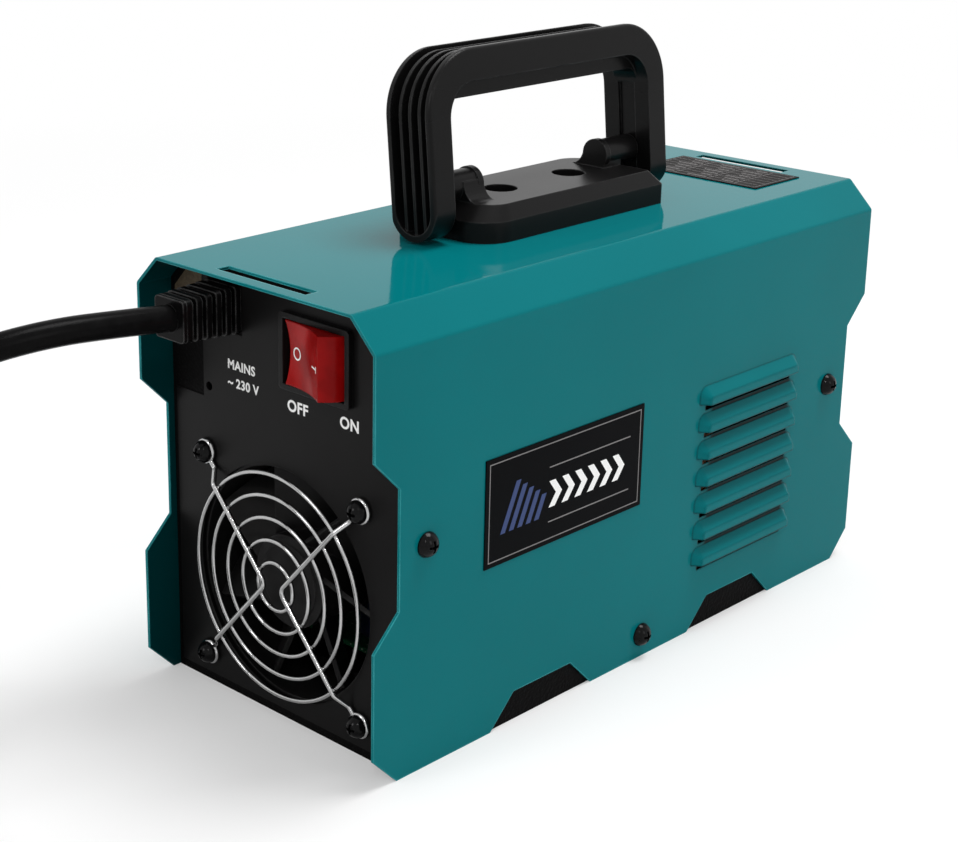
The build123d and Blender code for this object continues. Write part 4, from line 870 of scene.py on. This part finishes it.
def coil_points():
    """In on the upper spiral, down along the innermost turn, and out on the lower spiral."""
    d = LEAD_DIAMETER
    outer = COIL_RADIUS + LAYER_TURNS * d / 2
    inner = COIL_RADIUS - LAYER_TURNS * d / 2
    step_down = ((COIL_END - COIL_START) / 360.0 - 2 * LAYER_TURNS) % 1.0
    total = 2 * LAYER_TURNS + step_down
    count = round(total * POINTS_PER_TURN)
    points = []
    for index in range(count + 1):
        turns = total * index / count
        share = min(max((turns - LAYER_TURNS) / step_down, 0.0), 1.0)
        height = (1.5 - share * share * (3 - 2 * share)) * d
        if turns <= LAYER_TURNS:
            radius = outer - d * turns
        else:
            radius = inner + d * max(turns - LAYER_TURNS - step_down, 0.0)
        points.append(on_circle(radius, COIL_START + 360.0 * turns, height))
    return points


def tail_points():
    """From the coil's last turn straight off, then up to the plug."""
    d = LEAD_DIAMETER
    radius = COIL_RADIUS + LAYER_TURNS * d / 2
    leave = math.sqrt((radius + d / 2) ** 2 - radius ** 2)
    along = Vector((-math.sin(math.radians(COIL_END)), math.cos(math.radians(COIL_END)), 0))
    aside = Vector((along.y, -along.x, 0))
    foot = on_circle(radius, COIL_END, d / 2)
    length = 34.0 * MM
    points = []
    for share, side, lift in ((0, 0, 0), (0.3, 0, 0), (0.66, -0.8, 1.4), (1, -2.3, 4.6)):
        straight = foot + along * (leave + share * length)
        points.append(straight + aside * (side * MM) + Vector((0, 0, lift * MM)))
    return points


def make_lead(finishes):
    points = [Vector(point) for point in LEAD_ROUTE] + coil_points() + tail_points()
    curve = bpy.data.curves.new("mains_lead", "CURVE")
    curve.dimensions = "3D"
    curve.bevel_depth = LEAD_DIAMETER / 2
    curve.bevel_resolution = 6
    curve.resolution_u = 8
    curve.use_fill_caps = True
    spline = curve.splines.new("NURBS")
    spline.points.add(len(points) - 1)
    for slot, point in zip(spline.points, points):
        slot.co = (*point, 1.0)
    spline.order_u = 3
    spline.use_endpoint_u = True
    lead = piece("mains_lead", curve, finishes["rubber"])
    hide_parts("mains_cord", "cord_coil", "cord_tail")
    return lead


def coil_tie(finishes):
    """A flat strap round the coil's turns."""
    d = LEAD_DIAMETER
    angle = math.radians(60.0)
    outward = Vector((math.cos(angle), math.sin(angle), 0))
    along = Vector((-outward.y, outward.x, 0))
    reach = LAYER_TURNS * d / 2 + d / 2
    half_w, thick, corner = 5.0 * MM, 0.9 * MM, 3.6 * MM
    side, top, bottom = reach - corner, 2 * d - corner, corner + 0.2 * MM
    outline = []
    for cx, cz, start in ((side, top, 0), (-side, top, 90), (-side, bottom, 180),
                          (side, bottom, 270)):
        for step in range(7):
            a = math.radians(start + 15 * step)
            outline.append((cx, cz, math.cos(a), math.sin(a)))
    rings = []
    for share, grow in ((-1.0, -0.3), (-0.86, 0.25), (0.86, 0.25), (1.0, -0.3)):
        for layer in (0.0, thick):
            radius = corner + layer + (grow * MM if layer else 0.0) - 0.2 * MM
            rings.append([
                COIL_CENTRE + outward * (COIL_RADIUS + cx + radius * c)
                + along * (share * half_w) + Vector((0, 0, max(cz + radius * s, 0.05 * MM)))
                for cx, cz, c, s in outline
            ])
    vertices = [point for ring in rings for point in ring]
    count = len(outline)
    order = [0, 1, 3, 5, 7, 6, 4, 2]
    faces = []
    for a, b in zip(order, order[1:] + order[:1]):
        for i in range(count):
            j = (i + 1) % count
            faces.append([a * count + i, a * count + j, b * count + j, b * count + i])
    return faces_piece("coil_tie", vertices, faces, finishes["plastic"])


def plug_ribs(finishes):
    """Grip ribs round the plug's cable outlet."""
    tail = tail_points()
    start, before = tail[-1], tail[-2]
    axis = (start - before).normalized()
    side = axis.cross(Vector((0, 0, 1))).normalized()
    up = side.cross(axis)
    vertices, faces = [], []
    steps, tube = 28, 8
    first_rib, rib_pitch = 2.5, 3.2
    first_radius, radius_growth = 5.35, 0.45
    rib_height, rib_half_width = 0.55 * MM, 0.8 * MM
    for rib in range(4):
        centre = start + axis * ((first_rib + rib_pitch * rib) * MM)
        radius = (first_radius + radius_growth * rib) * MM
        first = len(vertices)
        for i in range(steps):
            a = 2 * math.pi * i / steps
            spoke = side * math.cos(a) + up * math.sin(a)
            for j in range(tube):
                b = 2 * math.pi * j / tube
                vertices.append(centre + spoke * (radius + rib_height * math.cos(b))
                                + axis * (rib_half_width * math.sin(b)))
        for i in range(steps):
            for j in range(tube):
                k, m = (i + 1) % steps, (j + 1) % tube
                faces.append([first + i * tube + j, first + k * tube + j,
                              first + k * tube + m, first + i * tube + m])
    return faces_piece("plug_outlet_ribs", vertices, faces, finishes["rubber"])


# ---------------------------------------------------------------- stage
WHITE_FROM, WHITE_TO = 0.30, 1.0       # metres from the middle; the floor turns pure white


def make_floor():
    """A white floor: lit and shaded round the object, and pure white to the camera far out."""
    s = Shader("studio_floor")
    paint = s.noise(3.0, 2.0)
    white = s.blend(paint, (0.84, 0.84, 0.84), (0.86, 0.86, 0.86))
    s.set(Base_Color=white, Roughness=0.9, Specular_IOR_Level=0.1)
    glow = s.add("ShaderNodeEmission")
    glow.inputs["Color"].default_value = (1.0, 1.0, 1.0, 1.0)
    glow.inputs["Strength"].default_value = 1.0
    path = s.add("ShaderNodeLightPath")
    away = s.add("ShaderNodeVectorMath", operation="LENGTH")
    s.link(s.place, away.inputs[0])
    share = s.times(s.span(away.outputs["Value"], 0.30, 1.0, WHITE_FROM, WHITE_TO),
                    path.outputs["Is Camera Ray"])
    mix = s.add("ShaderNodeMixShader")
    s.link(share, mix.inputs["Fac"])
    s.link(s.bsdf.outputs["BSDF"], mix.inputs[1])
    s.link(glow.outputs["Emission"], mix.inputs[2])
    s.link(mix.outputs["Shader"], s.tree.nodes["Material Output"].inputs["Surface"])
    size = 5.0
    data = bpy.data.meshes.new("floor")
    data.from_pydata([(-size, -size, 0), (size, -size, 0), (size, size, 0), (-size, size, 0)],
                     [], [[0, 1, 2, 3]])
    data.materials.append(s.material)
    floor = bpy.data.objects.new("floor", data)
    scene.collection.objects.link(floor)


def make_world():
    """White where it is seen or mirrored; for light, a dome that is brighter overhead."""
    world = bpy.data.worlds.new("studio")
    scene.world = world
    world.use_nodes = True
    nodes, links = world.node_tree.nodes, world.node_tree.links
    background = nodes["Background"]
    place = nodes.new("ShaderNodeTexCoord")
    split = nodes.new("ShaderNodeSeparateXYZ")
    links.new(place.outputs["Generated"], split.inputs[0])
    dome = nodes.new("ShaderNodeMapRange")
    for key, value in (("From Min", -0.1), ("From Max", 0.9), ("To Min", 0.25), ("To Max", 0.62)):
        dome.inputs[key].default_value = value
    links.new(split.outputs["Z"], dome.inputs["Value"])
    path = nodes.new("ShaderNodeLightPath")
    brightest = dome.outputs["Result"]
    for ray in ("Is Camera Ray", "Is Glossy Ray", "Is Transmission Ray"):
        most = nodes.new("ShaderNodeMath")
        most.operation = "MAXIMUM"
        links.new(brightest, most.inputs[0])
        links.new(path.outputs[ray], most.inputs[1])
        brightest = most.outputs[0]
    links.new(brightest, background.inputs["Strength"])
    background.inputs["Color"].default_value = (1.0, 1.0, 1.0, 1.0)


def softbox(name, place, aim, size, power):
    data = bpy.data.lights.new(name, "AREA")
    data.shape = "RECTANGLE"
    data.size, data.size_y = size
    data.energy = power
    lamp = bpy.data.objects.new(name, data)
    lamp.location = place
    lamp.rotation_mode = "QUATERNION"
    lamp.rotation_quaternion = (Vector(aim) - Vector(place)).to_track_quat("-Z", "Y")
    scene.collection.objects.link(lamp)


def make_lights():
    middle = (0.0, 0.0, 0.09)
    softbox("key", (0.25, 0.55, 2.0), middle, (0.9, 0.9), 32.0)
    softbox("side_fill", (2.0, 0.1, 0.9), middle, (0.5, 0.9), 4.0)
    softbox("end_fill", (-0.5, -1.9, 1.1), middle, (0.5, 0.5), 7.0)
    softbox("spark", (1.1, -1.3, 1.45), middle, (0.12, 0.12), 4.0)


# ---------------------------------------------------------------- put together
scene.view_settings.view_transform = "Standard"
finishes = make_finishes()
make_camera()
finish_nodes(finishes)
make_floor()
make_world()
make_lights()

mains_print(finishes)
fibre_flap(finishes)
slit_shading_cables(finishes)
rocker_marks(finishes)
nameplate_print(1, finishes)
nameplate_print(-1, finishes)
rating_print(finishes)
output_print(finishes)

lead = make_lead(finishes)
tie = coil_tie(finishes)
ribs = plug_ribs(finishes)
